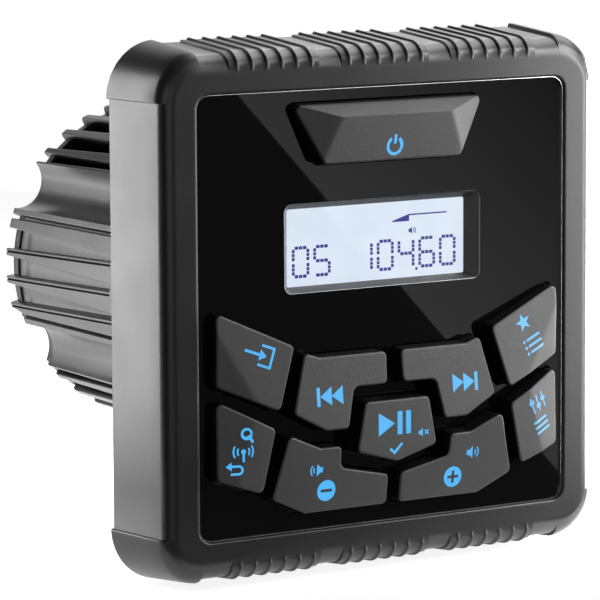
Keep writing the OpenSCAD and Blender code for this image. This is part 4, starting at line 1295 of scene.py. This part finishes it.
def add_card(brightness):
    """Card that the gloss panel mirrors: the camera's rays through the two edge points, mirrored by
    the panel, meet the card's plane along its bright edge, and the card fades away from there."""
    start = in_front(CARD_EDGE * MM, PANEL_Y)
    ray = unit(start - camera_place()) * [1, -1, 1]
    edge = start + CARD_AWAY * ray
    along = unit(edge[1] - edge[0])
    across = unit(np.cross(along, ray.mean(axis=0)))
    across *= np.sign(across[0])
    ends = edge + CARD_SPARE * np.stack([-along, along])
    corners = np.vstack([ends, ends[::-1] + CARD_WIDTH * across])
    begin = float(corners[0] @ across)
    material, tree = new_material("card_light")
    tree.nodes.remove(tree.nodes["Principled BSDF"])
    glow = add_node(tree, "Emission")
    place = add_node(tree, "TexCoord")
    reach = add_node(tree, "VectorMath", {1: tuple(across)}, operation="DOT_PRODUCT")
    fade = add_node(tree, "MapRange", {"From Min": begin, "From Max": begin + CARD_FADE,
                                       "To Min": brightness, "To Max": CARD_END})
    link(tree,
         (place, "Object", reach, 0), (reach, "Value", fade, "Value"), (fade, "Result", glow, "Strength"),
         (glow, "Emission", tree.nodes["Material Output"], "Surface"))
    card = stage_object("card", corners, material)
    card.visible_camera = False
    card.visible_diffuse = False
    card.visible_shadow = False


# Operators

class STEREO_OT_bezel(bpy.types.Operator):
    """Build the ribbed bezel and the bead round the panel"""

    bl_idname = "stereo.bezel"
    bl_label = "Bezel"

    def execute(self, context):
        sizes = context.scene.stereo_bezel
        add_piece("bezel_skin", bezel_shell(sizes), "bezel_plastic", replaces=["front_bezel"])
        add_piece("panel_bead", bead_shell(sizes), "panel_gloss", look="panel_edge")
        return {"FINISHED"}


class STEREO_OT_keys(bpy.types.Operator):
    """Build the ten sculpted keys and their lit symbols"""

    bl_idname = "stereo.keys"
    bl_label = "Keys"

    def execute(self, context):
        sizes = context.scene.stereo_face
        for name, (corners, facets) in KEYS.items():
            body = name + "_button"
            cap, painted_shade = key_shell(corners, facets, sizes)
            add_piece(name + "_cap", cap, "key_plastic", body, [name + "_key"], painted_shade=painted_shade)
            icon = inlay(ICONS[name], facets, sizes.crease, ICON_DEPTHS)
            add_piece(name + "_icon", icon, "key_plastic", body, look="icon_light")
            if name in SIGNS:
                sign = inlay(SIGNS[name], facets, sizes.crease, SIGN_DEPTHS)
                add_piece(name + "_sign", sign, "key_plastic", body)
        return {"FINISHED"}


class STEREO_OT_display(bpy.types.Operator):
    """Build the display's surround, lit cell and digits"""

    bl_idname = "stereo.display"
    bl_label = "Display"

    def execute(self, context):
        sizes = context.scene.stereo_face
        add_piece("display_rim", rim_shell(sizes), "panel_gloss")
        add_piece("display_surround", display_shell(sizes), "display_trim", replaces=["display_frame"])
        layer, cell_corner = 0.04 * MM, 0.4 * MM
        cell = rectangle(*LCD_HALF, cell_corner, DISPLAY_Z)
        plate = loft(np.array([in_front(cell, y) for y in (LCD_BACK, LCD_FRONT + 2 * layer)]))
        add_piece("lcd_plate", plate, "lcd_cell", replaces=["lcd_panel"])
        strokes = digit_strokes(sizes) + level_strokes()
        marks = flat_plates(strokes, LCD_FRONT + layer, LCD_FRONT + 2.5 * layer)
        add_piece("lcd_marks", marks, "lcd_cell", look="lcd_digits")
        return {"FINISHED"}


class STEREO_OT_barrel(bpy.types.Operator):
    """Build the finned barrel and its rear cover"""

    bl_idname = "stereo.barrel"
    bl_label = "Barrel"

    def execute(self, context):
        sizes = context.scene.stereo_barrel
        shell, shade = barrel_shell(sizes)
        add_piece("barrel_casting", shell, "barrel_cast", replaces=["barrel_housing"], sharp=35.0,
                  painted_shade=shade)
        add_piece("notched_cover", cover_shell(sizes), "cover_coat", replaces=["rear_cover"])
        return {"FINISHED"}


class STEREO_OT_finishes(bpy.types.Operator):
    """Give every carried-over CAD node the finish of its slot"""

    bl_idname = "stereo.finishes"
    bl_label = "Finishes"

    def execute(self, context):
        for name, node in frame["nodes"].items():
            node.data.materials.clear()
            node.data.materials.append(finish_of(NODE_SLOT[name]))
        return {"FINISHED"}


class STEREO_OT_stage(bpy.types.Operator):
    """Set up the floor, the lights and the camera"""

    bl_idname = "stereo.stage"
    bl_label = "Stage"

    def execute(self, context):
        light = context.scene.stereo_stage
        context.scene.view_settings.view_transform = "Standard"
        add_camera()
        add_world(light.ambient)
        add_floor()
        add_card(light.card)
        for name, box in SOFTBOXES.items():
            add_softbox(name + "_softbox", *box, getattr(light, name))
        return {"FINISHED"}


class STEREO_PT_panel(bpy.types.Panel):
    """Sidebar panel that lists the steps"""

    bl_idname = "STEREO_PT_panel"
    bl_label = "Marine stereo"
    bl_space_type = "VIEW_3D"
    bl_region_type = "UI"
    bl_category = "Stereo"

    def draw(self, context):
        for step in STEPS:
            self.layout.operator(step.bl_idname)
        for group in SETTINGS:
            settings = getattr(context.scene, group)
            for name in settings.bl_rna.properties.keys():
                if name not in {"rna_type", "name"}:
                    self.layout.prop(settings, name)


SETTINGS = {
    "stereo_bezel": BezelSettings,
    "stereo_face": FaceSettings,
    "stereo_barrel": BarrelSettings,
    "stereo_finish": FinishSettings,
    "stereo_stage": StageSettings,
}
STEPS = (STEREO_OT_bezel, STEREO_OT_keys, STEREO_OT_display, STEREO_OT_barrel,
         STEREO_OT_finishes, STEREO_OT_stage)


def register():
    """Register the settings, the steps and the panel."""
    for name, group in SETTINGS.items():
        bpy.utils.register_class(group)
        setattr(bpy.types.Scene, name, PointerProperty(type=group))
    for step in STEPS:
        bpy.utils.register_class(step)
    bpy.utils.register_class(STEREO_PT_panel)


def unregister():
    """Take back what register added."""
    bpy.utils.unregister_class(STEREO_PT_panel)
    for step in reversed(STEPS):
        bpy.utils.unregister_class(step)
    for name, group in reversed(SETTINGS.items()):
        delattr(bpy.types.Scene, name)
        bpy.utils.unregister_class(group)


def main():
    """Run every step in order."""
    register()
    bpy.ops.stereo.bezel()
    bpy.ops.stereo.keys()
    bpy.ops.stereo.display()
    bpy.ops.stereo.barrel()
    bpy.ops.stereo.finishes()
    bpy.ops.stereo.stage()


if __name__ == "__main__":
    main()
